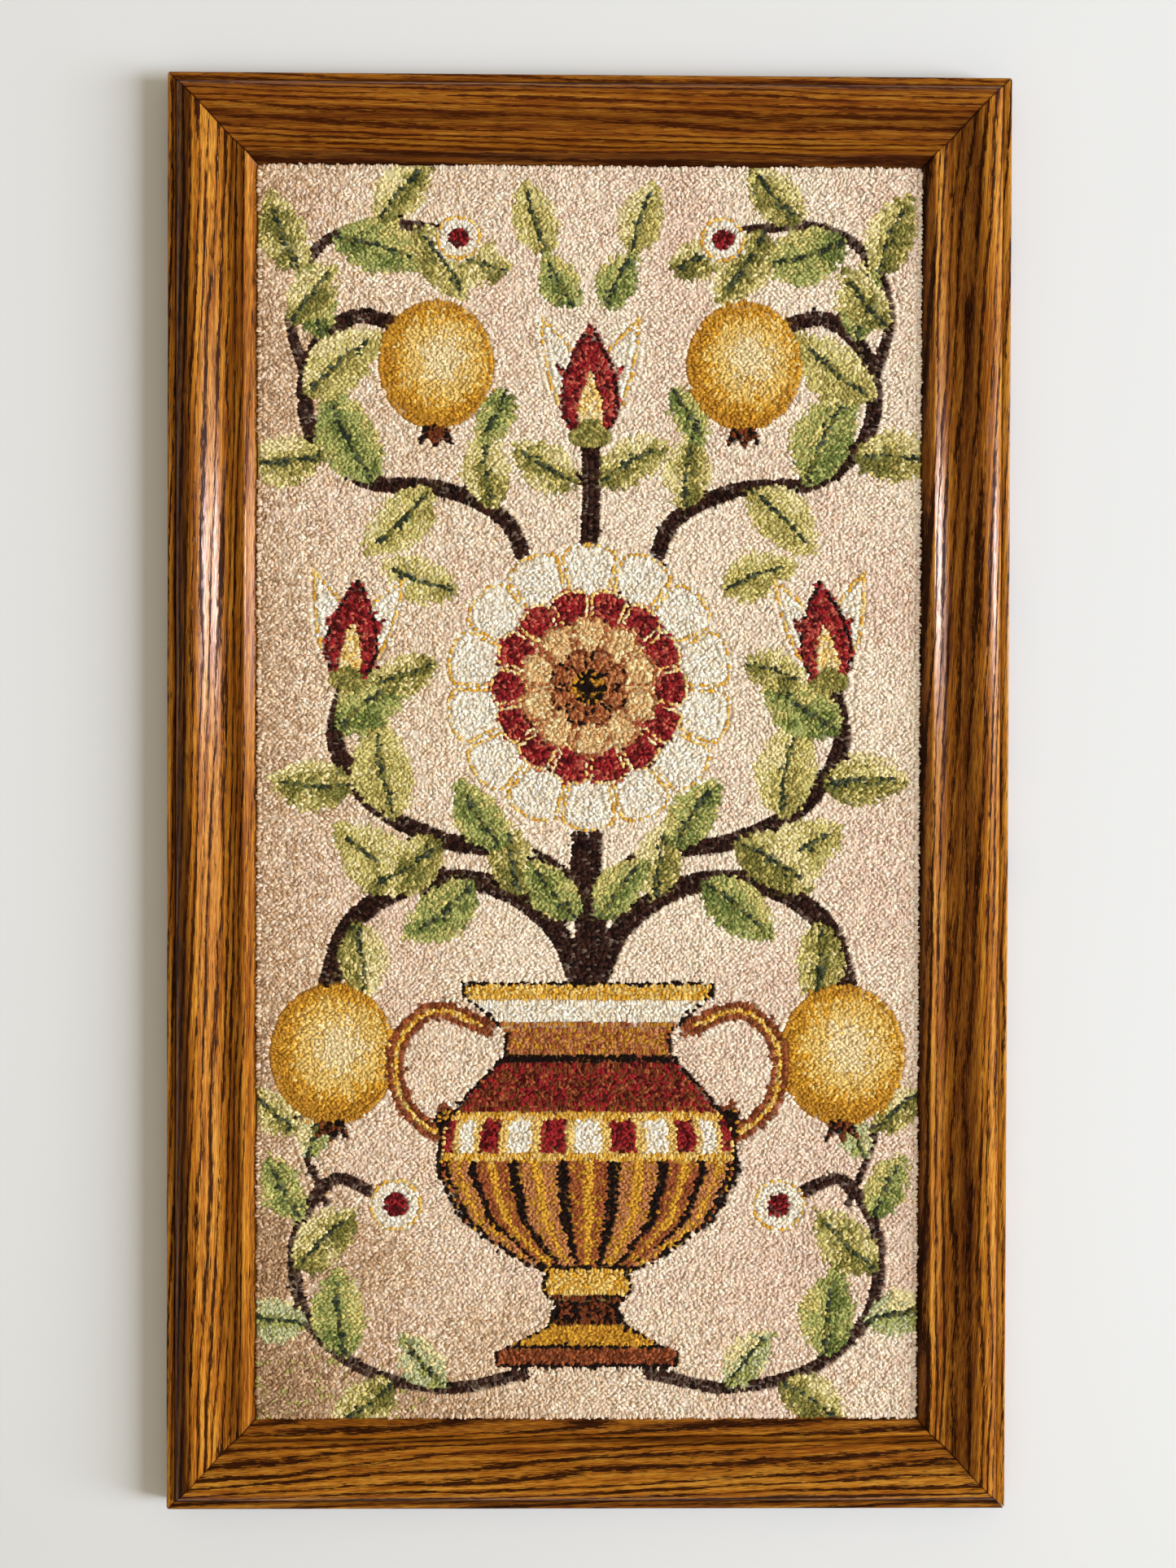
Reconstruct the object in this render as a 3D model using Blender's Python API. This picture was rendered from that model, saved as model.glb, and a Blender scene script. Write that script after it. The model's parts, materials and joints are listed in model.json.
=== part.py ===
"""Framed hooked rug, hanging upright: four mitred oak rails around one flat hooked rug.

Run it with blender --background --python part.py, or from Blender's text editor.
Metres, +Z up. The front looks towards -Y and the backs of the rails lie in the plane y = 0.
The origin is the middle of the top rail's back face.
"""
import math

import bmesh
import bpy
from mathutils import Matrix, Vector

# The assembled frame, seen from the front
FRAME_WIDTH = 0.610
FRAME_HEIGHT = 1.040
MOULDING_WIDTH = 0.0635
MITRE_GAP = 0.0003
CORNER_RADIUS = 0.0045
CORNER_ALLOWANCE = 0.0008

# The moulding in section: "across" runs from its outer edge inwards, "rise" from its back forwards
BEAD_WIDTH = 0.0053
BEAD_RISE = 0.0200
BEAD_ROUND = 0.0016
QUIRK_DEPTH = 0.0009
SHOULDER_ACROSS = 0.0190
SHOULDER_RISE = 0.0280
SCOOP_ACROSS = 0.0430
SCOOP_RISE = 0.0150
CREST_ACROSS = 0.0545
CREST_RISE = 0.0193
CREST_POWER = 1.4
CREST_ROUND = 0.0024
LIP_RISE = 0.0095
LIP_ROUND = 0.0005
RABBET_WIDTH = 0.0080
RABBET_DEPTH = 0.0080
ROUND_STEPS = 4
SHOULDER_STEPS = 9
SCOOP_STEPS = 14
CREST_STEPS = 8

# The rug: its cloth lies in the rabbet, and its pile fills the opening
CLOTH_OVERLAP = 0.0070
CLOTH_THICKNESS = 0.0015
CLOTH_CLEARANCE = 0.0003
PILE_HEIGHT = 0.0058
PILE_CLEARANCE = 0.0006
PILE_RIM = 0.0020
PILE_SUNK = 0.0010
PILE_STEP = 0.0090
PILE_CORNER = 0.0040
RIM_WAVE = 0.00014
RIM_WAVE_LENGTHS = (0.031, 0.047)

OPENING_WIDTH = FRAME_WIDTH - 2 * MOULDING_WIDTH
OPENING_HEIGHT = FRAME_HEIGHT - 2 * MOULDING_WIDTH
BACK_WIDTH = MOULDING_WIDTH - RABBET_WIDTH
TOP_EDGE_Z = BACK_WIDTH / 2
MIDDLE_Z = TOP_EDGE_Z - FRAME_HEIGHT / 2
CLOTH_FRONT_Y = -(RABBET_DEPTH - CLOTH_CLEARANCE)

OAK = {"name": "varnished_oak", "colour": (0.305, 0.125, 0.034, 1.0), "roughness": 0.28}
YARN = {"name": "rug_yarn", "colour": (0.60, 0.45, 0.31, 1.0), "roughness": 0.95}

# One row for each rail: its name, how far it is turned about +Y, and the length of its outer edge
RAILS = (
    {"name": "rail_top", "turn": 0.0, "length": FRAME_WIDTH},
    {"name": "rail_right", "turn": math.radians(90), "length": FRAME_HEIGHT},
    {"name": "rail_bottom", "turn": math.radians(180), "length": FRAME_WIDTH},
    {"name": "rail_left", "turn": math.radians(-90), "length": FRAME_HEIGHT},
)


def clear_scene():
    """Remove whatever the file holds, so that the script can be run again."""
    for scene_object in list(bpy.data.objects):
        bpy.data.objects.remove(scene_object, do_unlink=True)
    for collection in list(bpy.data.collections):
        bpy.data.collections.remove(collection)


def new_collection(name):
    """Return a new collection in the scene."""
    collection = bpy.data.collections.new(name)
    bpy.context.scene.collection.children.link(collection)
    return collection


def new_material(settings):
    """Return a Principled material with a colour and a roughness."""
    material = bpy.data.materials.new(settings["name"])
    material.use_nodes = True
    shader = material.node_tree.nodes["Principled BSDF"]
    shader.inputs["Base Color"].default_value = settings["colour"]
    shader.inputs["Roughness"].default_value = settings["roughness"]
    shader.inputs["Metallic"].default_value = 0.0
    material.diffuse_color = settings["colour"]
    return material


def quarter_round(start, end, steps):
    """Points of a quarter ellipse that leaves start along the rise and reaches end level."""
    width = end[0] - start[0]
    height = end[1] - start[1]
    angles = [math.pi / 2 * step / steps for step in range(1, steps + 1)]
    return [
        (start[0] + width * (1 - math.cos(angle)), start[1] + height * math.sin(angle))
        for angle in angles
    ]


def ogee(start, end, steps):
    """Points of half a cosine wave between two levels, flat at both ends."""
    shares = [step / steps for step in range(1, steps + 1)]
    return [
        (
            start[0] + (end[0] - start[0]) * share,
            start[1] + (end[1] - start[1]) * (1 - math.cos(math.pi * share)) / 2,
        )
        for share in shares
    ]


def hollow(start, end, steps, power):
    """Points of a hollow that leaves start level and steepens on its way to end, as a power of its share."""
    shares = [step / steps for step in range(1, steps + 1)]
    return [
        (start[0] + (end[0] - start[0]) * share, start[1] + (end[1] - start[1]) * share ** power)
        for share in shares
    ]


def moulding_section():
    """The moulding's closed outline as (across, rise): back, outer bead, shoulder, scoop, crest, lip, rabbet."""
    bead_start = (0.0, BEAD_RISE - BEAD_ROUND)
    bead_top = (BEAD_ROUND, BEAD_RISE)
    quirk = (BEAD_WIDTH + QUIRK_DEPTH / 3, BEAD_RISE - QUIRK_DEPTH)
    shoulder = (SHOULDER_ACROSS, SHOULDER_RISE)
    scoop = (SCOOP_ACROSS, SCOOP_RISE)
    crest = (CREST_ACROSS, CREST_RISE)
    outline = [(0.0, 0.0), bead_start]
    outline += quarter_round(bead_start, bead_top, ROUND_STEPS)
    outline += [(BEAD_WIDTH, BEAD_RISE), quirk]
    outline += quarter_round(quirk, shoulder, SHOULDER_STEPS)
    outline += ogee(shoulder, scoop, SCOOP_STEPS)
    outline += hollow(scoop, crest, CREST_STEPS, CREST_POWER)
    outline += [
        (CREST_ACROSS + CREST_ROUND / 2, CREST_RISE - CREST_ROUND / 8),
        (CREST_ACROSS + CREST_ROUND, CREST_RISE - CREST_ROUND / 2),
        (MOULDING_WIDTH - LIP_ROUND, LIP_RISE + LIP_ROUND / 2),
        (MOULDING_WIDTH, LIP_RISE - LIP_ROUND / 2),
    ]
    outline += [(MOULDING_WIDTH, RABBET_DEPTH), (BACK_WIDTH, RABBET_DEPTH), (BACK_WIDTH, 0.0)]
    return outline


def flat_outline_mesh(name, points, depth, rim=0.0):
    """Mesh of a closed outline in the XY plane, extruded to depth, its edges rounded by rim."""
    curve = bpy.data.curves.new(name, "CURVE")
    curve.dimensions = "2D"
    curve.fill_mode = "BOTH"
    curve.extrude = depth / 2 - rim
    curve.bevel_depth = rim
    curve.bevel_resolution = 2
    spline = curve.splines.new("POLY")
    spline.points.add(len(points) - 1)
    for spline_point, (x, y) in zip(spline.points, points):
        spline_point.co = (x, y, 0.0, 1.0)
    spline.use_cyclic_u = True
    helper = bpy.data.objects.new(name, curve)
    bpy.context.scene.collection.objects.link(helper)
    evaluated = helper.evaluated_get(bpy.context.evaluated_depsgraph_get())
    mesh = bpy.data.meshes.new_from_object(evaluated)
    bpy.data.objects.remove(helper)
    bpy.data.curves.remove(curve)
    mesh.name = name
    return mesh


def tidy_mesh(bm, mesh):
    """Weld a mesh's loose caps, turn its faces outwards and write it back."""
    bmesh.ops.remove_doubles(bm, verts=bm.verts, dist=0.00001)
    bmesh.ops.recalc_face_normals(bm, faces=bm.faces)
    bm.to_mesh(mesh)
    bm.free()


def mitre_end(bm, side, length):
    """Cut one end of a rail along the frame's diagonal, half a mitre gap back from it."""
    normal = Vector((side, 0.0, -1.0)).normalized()
    corner = Vector((side * length / 2, 0.0, 0.0))
    geometry = bm.verts[:] + bm.edges[:] + bm.faces[:]
    cut = bmesh.ops.bisect_plane(
        bm,
        geom=geometry,
        dist=0.000001,
        plane_co=corner - normal * MITRE_GAP / 2,
        plane_no=normal,
        clear_outer=True,
    )
    rim = [item for item in cut["geom_cut"] if isinstance(item, bmesh.types.BMEdge)]
    bmesh.ops.holes_fill(bm, edges=rim, sides=0)


def rail_mesh(name, length):
    """Mesh of one mitred rail: along X, its outer edge on the X axis, its back at y = 0."""
    mesh = flat_outline_mesh(name, moulding_section(), length)
    bm = bmesh.new()
    bm.from_mesh(mesh)
    bmesh.ops.remove_doubles(bm, verts=bm.verts, dist=0.00001)
    lay_along_x = Matrix(((0, 0, -1, 0), (0, -1, 0, 0), (-1, 0, 0, 0), (0, 0, 0, 1)))
    bm.transform(lay_along_x)
    for side in (-1, 1):
        mitre_end(bm, side, length)
    tidy_mesh(bm, mesh)
    mesh.shade_smooth()
    mesh.set_sharp_from_angle(angle=math.radians(35))
    return mesh


def add_corner_cutter(collection):
    """A block with rounded upright edges, a little larger than the frame: it trims the mitres' tips."""
    bpy.ops.mesh.primitive_cube_add(size=1.0)
    cutter = bpy.context.object
    cutter.name = "corner_trim"
    grown = 2 * CORNER_ALLOWANCE
    size = Matrix.Diagonal((FRAME_WIDTH + grown, 4 * SHOULDER_RISE, FRAME_HEIGHT + grown, 1.0))
    bm = bmesh.new()
    bm.from_mesh(cutter.data)
    bm.transform(size)
    across = [edge for edge in bm.edges if abs(edge.verts[0].co.y - edge.verts[1].co.y) > SHOULDER_RISE]
    bmesh.ops.bevel(bm, geom=across, offset=CORNER_RADIUS, segments=5, profile=0.5, affect="EDGES")
    tidy_mesh(bm, cutter.data)
    cutter.location = (0.0, 0.0, MIDDLE_Z)
    cutter.hide_render = True
    cutter.display_type = "WIRE"
    for owner in list(cutter.users_collection):
        owner.objects.unlink(cutter)
    collection.objects.link(cutter)
    return cutter


def add_rails(collection, frame_middle, cutter, material):
    """Place the four rails about the middle of the frame and trim their corners."""
    for rail in RAILS:
        mesh = rail_mesh(rail["name"], rail["length"])
        mesh.materials.clear()
        mesh.materials.append(material)
        rail_object = bpy.data.objects.new(rail["name"], mesh)
        collection.objects.link(rail_object)
        rail_object.parent = frame_middle
        half_span = (FRAME_WIDTH + FRAME_HEIGHT - rail["length"]) / 2
        outwards = Vector((math.sin(rail["turn"]), 0.0, math.cos(rail["turn"])))
        rail_object.location = outwards * half_span
        rail_object.rotation_euler = (0.0, rail["turn"], 0.0)
        trim = rail_object.modifiers.new("corner_trim", "BOOLEAN")
        trim.operation = "INTERSECT"
        trim.solver = "EXACT"
        trim.object = cutter


def rim_offset(distance):
    """How far the pile's rim strays from a straight line, at a distance along one side."""
    waves = [math.sin(2 * math.pi * distance / length) for length in RIM_WAVE_LENGTHS]
    return RIM_WAVE * sum(waves)


def pile_outline(width, height):
    """The pile's outline, a rectangle whose sides wander a little and whose corners are rounded."""
    points = []
    sides = ((width, height), (height, width), (width, height), (height, width))
    for index, (length, span) in enumerate(sides):
        turn = Matrix.Rotation(index * math.pi / 2, 2)
        run = length - 2 * PILE_CORNER
        steps = round(run / PILE_STEP)
        for step in range(steps + 1):
            along = -run / 2 + run * step / steps
            out = -span / 2 + rim_offset(abs(along))
            points.append(tuple(turn @ Vector((along, out))))
        for share in (0.25, 0.5, 0.75):
            angle = share * math.pi / 2
            along = run / 2 + PILE_CORNER * math.sin(angle)
            out = -span / 2 + PILE_CORNER * (1 - math.cos(angle))
            points.append(tuple(turn @ Vector((along, out))))
    return points


def add_rug(collection, frame_middle, cutter_collection, material):
    """The rug as one solid: a flat cloth in the rabbet, and on it the pile with its rounded rim."""
    stand_upright = Matrix.Rotation(math.radians(90), 4, "X")
    inset = 2 * (PILE_CLEARANCE + PILE_RIM)
    outline = pile_outline(OPENING_WIDTH - inset, OPENING_HEIGHT - inset)
    pile_mesh = flat_outline_mesh("pile", outline, PILE_HEIGHT + PILE_SUNK, PILE_RIM)
    bm = bmesh.new()
    bm.from_mesh(pile_mesh)
    bm.transform(stand_upright)
    tidy_mesh(bm, pile_mesh)
    pile = bpy.data.objects.new("pile", pile_mesh)
    cutter_collection.objects.link(pile)
    pile.parent = frame_middle
    pile.location = (0.0, CLOTH_FRONT_Y - (PILE_HEIGHT - PILE_SUNK) / 2, 0.0)
    pile.hide_render = True
    pile.display_type = "WIRE"

    bpy.ops.mesh.primitive_cube_add(size=1.0)
    rug = bpy.context.object
    rug.name = "rug"
    rug.data.name = "rug"
    cloth_width = OPENING_WIDTH + 2 * CLOTH_OVERLAP
    cloth_height = OPENING_HEIGHT + 2 * CLOTH_OVERLAP
    rug.data.transform(Matrix.Diagonal((cloth_width, CLOTH_THICKNESS, cloth_height, 1.0)))
    rug.parent = frame_middle
    rug.location = (0.0, CLOTH_FRONT_Y + CLOTH_THICKNESS / 2, 0.0)
    rug.data.materials.append(material)
    join = rug.modifiers.new("pile", "BOOLEAN")
    join.operation = "UNION"
    join.solver = "EXACT"
    join.object = pile
    for owner in list(rug.users_collection):
        owner.objects.unlink(rug)
    collection.objects.link(rug)


def build():
    """Model the framed rug."""
    clear_scene()
    parts = new_collection("framed_hooked_rug")
    cutters = new_collection("cutters")
    frame_middle = bpy.data.objects.new("frame_middle", None)
    frame_middle.empty_display_size = 0.05
    frame_middle.location = (0.0, 0.0, MIDDLE_Z)
    parts.objects.link(frame_middle)
    oak = new_material(OAK)
    yarn = new_material(YARN)
    cutter = add_corner_cutter(cutters)
    add_rails(parts, frame_middle, cutter, oak)
    add_rug(parts, frame_middle, cutters, yarn)


build()
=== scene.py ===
import json
import math

import bmesh
import bpy
import numpy as np
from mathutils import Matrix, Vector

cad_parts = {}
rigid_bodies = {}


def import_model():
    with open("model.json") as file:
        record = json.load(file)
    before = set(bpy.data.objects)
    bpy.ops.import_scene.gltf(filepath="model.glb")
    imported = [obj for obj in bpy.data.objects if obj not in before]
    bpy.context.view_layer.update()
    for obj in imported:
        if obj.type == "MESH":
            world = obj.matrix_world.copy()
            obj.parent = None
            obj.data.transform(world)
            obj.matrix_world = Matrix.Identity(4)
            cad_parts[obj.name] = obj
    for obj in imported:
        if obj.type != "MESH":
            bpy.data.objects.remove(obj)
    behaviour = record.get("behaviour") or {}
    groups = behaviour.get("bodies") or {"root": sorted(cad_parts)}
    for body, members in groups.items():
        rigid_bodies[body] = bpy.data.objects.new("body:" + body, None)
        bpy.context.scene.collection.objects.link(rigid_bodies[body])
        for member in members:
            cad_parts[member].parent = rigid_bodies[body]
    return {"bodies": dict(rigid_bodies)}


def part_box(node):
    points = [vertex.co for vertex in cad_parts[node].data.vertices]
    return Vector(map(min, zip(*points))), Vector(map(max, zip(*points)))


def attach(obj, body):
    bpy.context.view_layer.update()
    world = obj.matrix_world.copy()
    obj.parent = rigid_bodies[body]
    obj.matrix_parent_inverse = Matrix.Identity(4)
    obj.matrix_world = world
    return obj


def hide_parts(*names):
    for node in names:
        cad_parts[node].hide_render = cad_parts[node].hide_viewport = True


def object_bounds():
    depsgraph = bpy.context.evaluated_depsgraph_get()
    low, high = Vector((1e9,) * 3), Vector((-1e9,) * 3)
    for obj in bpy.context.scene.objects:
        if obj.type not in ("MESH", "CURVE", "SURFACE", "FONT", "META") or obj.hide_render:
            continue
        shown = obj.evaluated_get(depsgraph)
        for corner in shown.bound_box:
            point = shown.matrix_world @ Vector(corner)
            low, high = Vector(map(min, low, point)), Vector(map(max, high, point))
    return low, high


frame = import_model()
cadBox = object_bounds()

# A hooked rug in a mitred oak frame, hung upright. Metres in the scene, +Z up, the front looks to -Y. Shapes
# are worked out in millimetres: across or u to the viewer's right, v upwards, rise forwards from the wall.
mm = 0.001
rootBody = next(iter(frame["bodies"]))
outerLow, outerHigh = cadBox
frameMiddle = ((outerLow[0] + outerHigh[0]) / 2, (outerLow[2] + outerHigh[2]) / 2)
frameWide = (outerHigh[0] - outerLow[0]) / mm
frameHigh = (outerHigh[2] - outerLow[2]) / mm
rugLow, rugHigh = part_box("rug")
random = np.random.default_rng(1907)


def linearColour(code):
    # sRGB hex to linear red, green and blue: a straight piece near black and a 2.4 power above it
    value = np.array([int(code[i:i + 2], 16) for i in (1, 3, 5)]) / 255
    return np.where(value <= 0.04045, value / 12.92, ((value + 0.055) / 1.055) ** 2.4)


def addNode(material, kind, inputs=None, out=0, **fields):
    # adds a node and gives its output; fields are its own settings, and an input takes a plain value, a hex
    # colour or another node's output
    node = material.node_tree.nodes.new("ShaderNode" + kind)
    for key, value in fields.items():
        setattr(node, key, value)
    for key, value in (inputs or {}).items():
        if isinstance(value, bpy.types.NodeSocket):
            material.node_tree.links.new(value, node.inputs[key])
        else:
            node.inputs[key].default_value = (*linearColour(value), 1) if isinstance(value, str) else value
    return node.outputs[out]


def newMaterial(name, settings):
    # a Principled material, its constant values set on the shader itself
    material = bpy.data.materials.new(name)
    material.use_nodes = True
    shader = material.node_tree.nodes["Principled BSDF"]
    for key, value in settings.items():
        shader.inputs[key].default_value = value
    return material, shader


def fillRamp(output, stops):
    # sets the stops of a colour ramp, as (position, hex colour)
    ramp = output.node.color_ramp
    ramp.elements.remove(ramp.elements[-1])
    for index, (position, code) in enumerate(stops):
        element = ramp.elements.new(position) if index else ramp.elements[0]
        element.position = position
        element.color = (*linearColour(code), 1)
    return output


def wallPoints(middle, u, v, rise):
    # points in metres from millimetres right of and above a middle, and forwards from the wall
    parts = np.broadcast_arrays(middle[0] + u * mm, -rise * mm, middle[1] + v * mm)
    return np.stack(parts, -1).reshape(-1, 3)


def meshFromArrays(name, points, faces):
    # points (n, 3) in metres, faces a list of index arrays that all have the same number of corners
    mesh = bpy.data.meshes.new(name)
    corners = np.concatenate([f.ravel() for f in faces]).astype(np.int32)
    sizes = np.concatenate([np.full(len(f), f.shape[1]) for f in faces]).astype(np.int32)
    mesh.vertices.add(len(points))
    mesh.vertices.foreach_set("co", np.asarray(points, np.float32).ravel())
    mesh.loops.add(len(corners))
    mesh.loops.foreach_set("vertex_index", corners)
    mesh.polygons.add(len(sizes))
    mesh.polygons.foreach_set("loop_start", np.concatenate([[0], np.cumsum(sizes)[:-1]]).astype(np.int32))
    mesh.polygons.foreach_set("use_smooth", np.full(len(sizes), True))
    mesh.update(calc_edges=True)
    mesh.validate()
    return mesh


def flatGrid(wide, high, columns, rows):
    # a level grid about the middle: its points, the squares between them and the points round its rim
    u, v = np.meshgrid(np.linspace(-wide / 2, wide / 2, columns), np.linspace(-high / 2, high / 2, rows))
    index = np.arange(u.size).reshape(u.shape)
    quads = np.stack([index[:-1, :-1], index[:-1, 1:], index[1:, 1:], index[1:, :-1]], 2).reshape(-1, 4)
    return u.ravel(), v.ravel(), quads, np.concatenate([
        index[0, :-1], index[:-1, -1], index[-1, :0:-1], index[:0:-1, 0]])


def pointAttribute(mesh, name, kind, values):
    # a value, vector or colour at every point, which the materials read
    layer = mesh.attributes.new(name, kind, "POINT")
    field = {"FLOAT": "value", "FLOAT_VECTOR": "vector", "FLOAT_COLOR": "color"}[kind]
    layer.data.foreach_set(field, np.asarray(values, np.float32).ravel())


def cornerMap(mesh, uv):
    # the piece's UV map
    layer = mesh.uv_layers.new(name="OFBake")
    layer.uv.foreach_set("vector", np.asarray(uv, np.float32).ravel())


def addPiece(name, mesh, material):
    mesh.materials.append(material)
    piece = bpy.data.objects.new(name, mesh)
    bpy.context.scene.collection.objects.link(piece)
    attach(piece, rootBody)
    return piece


# The camera stands a little left of the middle, 1.4 m off.
view = {"place": (-0.0171, -1.3769, -0.4704), "turn": (89.4007, -0.1854, -0.6927), "lens": 43.0}
cameraData = bpy.data.cameras.new("camera")
cameraData.lens = view["lens"]
cameraData.clip_start = 0.05
camera = bpy.data.objects.new("camera", cameraData)
camera.location = view["place"]
camera.rotation_euler = [math.radians(angle) for angle in view["turn"]]
bpy.context.scene.collection.objects.link(camera)
bpy.context.scene.camera = camera
print("camera placed")


# Plain stage: a pale wall sheet right behind the frame, which only shows from its front, and a pale floor.
stage = {
    "wallColour": "#D7D7D8", "floorColour": "#E2E2E2", "wallGap": 1.0, "reach": 3.0, "floorDrop": 0.9,
    "skyAbove": "#FFEEC6", "skyBelow": "#FFF9EE", "strengthAbove": 0.66, "strengthBelow": 0.42,
    "skyInGloss": 0.04,
}
# Soft daylight from the right, and beside the wall the window that the varnish mirrors, one pane of it
# bright: place, the point it faces, width, height, watts, colour, and whether it shows in gloss alone.
lights = {
    "daylight": ((7.87, -4.36, -1.75), (0.0, 0.0, -0.5), 5.4, 3.6, 1430.0, "#ECF4FF", False),
    "daylight_in_varnish": ((7.87, -4.36, -1.75), (0.0, 0.0, -0.5), 5.4, 3.6, 58.0, "#ECF4FF", True),
    "window": ((4.60, -2.75, 0.12), (0.0, -2.75, 0.12), 5.1, 0.74, 74.0, "#EFF1FF", True),
    "bright_pane": ((4.58, -2.55, 0.24), (0.0, -2.55, 0.24), 0.50, 0.55, 54.0, "#EFF1FF", True),
}


def stagePlane(name, corners, colour, oneSided):
    mesh = bpy.data.meshes.new(name)
    mesh.from_pydata(corners, [], [(0, 1, 2, 3)])
    paint, shader = newMaterial(name + "_paint", {"Base Color": (*linearColour(colour), 1), "Roughness": 0.9})
    if oneSided:  # clear from behind, so that the back of the frame can be looked at
        side = addNode(paint, "NewGeometry", out="Backfacing")
        clear = addNode(paint, "BsdfTransparent")
        mix = addNode(paint, "MixShader", {0: side, 1: shader.outputs[0], 2: clear})
        paint.node_tree.links.new(mix, paint.node_tree.nodes["Material Output"].inputs[0])
    mesh.materials.append(paint)
    plane = bpy.data.objects.new(name, mesh)
    bpy.context.scene.collection.objects.link(plane)
    return plane


reach, floorLevel = stage["reach"], outerLow[2] - stage["floorDrop"]
wallPlane = stage["wallGap"] * mm
wallCorners = [(-reach, wallPlane, floorLevel), (reach, wallPlane, floorLevel), (reach, wallPlane, reach),
               (-reach, wallPlane, reach)]
wall = stagePlane("backdrop", wallCorners, stage["wallColour"], True)
wall.visible_diffuse = False
wall.visible_shadow = False
floorCorners = [(-reach, -reach, floorLevel), (reach, -reach, floorLevel), (reach, reach, floorLevel),
                (-reach, reach, floorLevel)]
floor = stagePlane("floor", floorCorners, stage["floorColour"], False)
floor.visible_glossy = False

world = bpy.data.worlds.new("studio")
bpy.context.scene.world = world
world.use_nodes = True
sky = world.node_tree.nodes["Background"]
heading = addNode(world, "TexCoord", out="Generated")
upward = addNode(world, "SeparateXYZ", {0: heading}, "Z")
height = addNode(world, "MapRange", {"Value": upward, "From Min": -1.0})
tint = addNode(world, "Mix", {0: height, 6: stage["skyBelow"], 7: stage["skyAbove"]}, 2, data_type="RGBA")
strength = addNode(world, "MapRange", {
    "Value": height, "To Min": stage["strengthBelow"], "To Max": stage["strengthAbove"]})
gloss = addNode(world, "LightPath", out="Is Glossy Ray")
dim = addNode(world, "MapRange", {"Value": gloss, "To Min": strength, "To Max": stage["skyInGloss"]})
world.node_tree.links.new(tint, sky.inputs["Color"])
world.node_tree.links.new(dim, sky.inputs["Strength"])  # gloss shows a dim room

for name, (place, faced, wide, tall, power, colour, glossOnly) in lights.items():
    data = bpy.data.lights.new(name, "AREA")
    data.shape = "RECTANGLE"
    data.size, data.size_y, data.energy = wide, tall, power
    data.color = linearColour(colour)
    lamp = bpy.data.objects.new(name, data)
    back = np.array(place) - np.array(faced)
    lamp.location = place
    swing = math.atan2(back[1], back[0]) + math.pi / 2
    lamp.rotation_euler = (math.acos(back[2] / np.linalg.norm(back)), 0, swing)
    lamp.visible_glossy, lamp.visible_diffuse = glossOnly, not glossOnly
    bpy.context.scene.collection.objects.link(lamp)
bpy.context.scene.view_settings.view_transform = "Standard"
print("stage and light set")


# Stained oak, moulded along the grain and varnished: the open pores of the spring wood hold the dark stain
# in long ragged dashes, the summer wood shows gold, and the varnish mirrors the window in a streak that the
# pores break up
oak = {
    # patches of noise along the grain: length and width in millimetres, and detail
    "fields": {"wander": (170.0, 17.0, 2.0), "ripple": (22.0, 2.4, 2.0), "pores": (10.0, 0.46, 3.0),
               "patches": (130.0, 6.5, 1.0), "dashes": (9.0, 0.34, 0.0), "streaks": (120.0, 3.4, 3.0),
               "fibres": (26.0, 0.40, 2.0), "spread": (60.0, 4.0, 2.0)},
    "ringShares": (1.0, 2.2, 0.36), "poreShares": (2.4, 2.5, 1.3), "toneShares": (0.72, 0.94, -0.22),
    "poreEdge": 0.04, "dashFrom": 0.61, "dashTo": 0.68, "dashDark": 0.75, "warmFrom": 0.42, "warmTo": 0.68,
    "tones": ((0.54, "#562503"), (0.70, "#864607"), (0.85, "#AB670F"), (1.06, "#C4882C")),
    # the stain colour darkens both real stain and painted shade; the wash colour is painted shade
    "pore": "#240D01", "poreWarm": "#482204", "stainAndShade": "#1C0900", "shadeWash": "#5C2203", "stainShadeTone": -0.11,
    "thinFrom": 0.3, "thinTo": 0.65, "thinLeast": 0.6, "poreGloss": 0.10, "bump": 0.4, "poreDepth": 0.20,
    "varnishDip": 0.10,
    # bands as (middle, spread, strength): stain gathers in the groove, which it dulls, and its band there also
    # paints the groove's shade; stain gathers at the mitres; the lip's band of pore level has its strength
    # from each stick, and paints light or shade on the lip
    "grooveStainAndShade": (6.5, 0.8, 0.7), "grooveDull": (6.9, 1.5, 1.3), "mitreStain": (0, 0.8, 0.9),
    "stainRise": 8.5, "lipBand": (60.5, 4.5),
}


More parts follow.
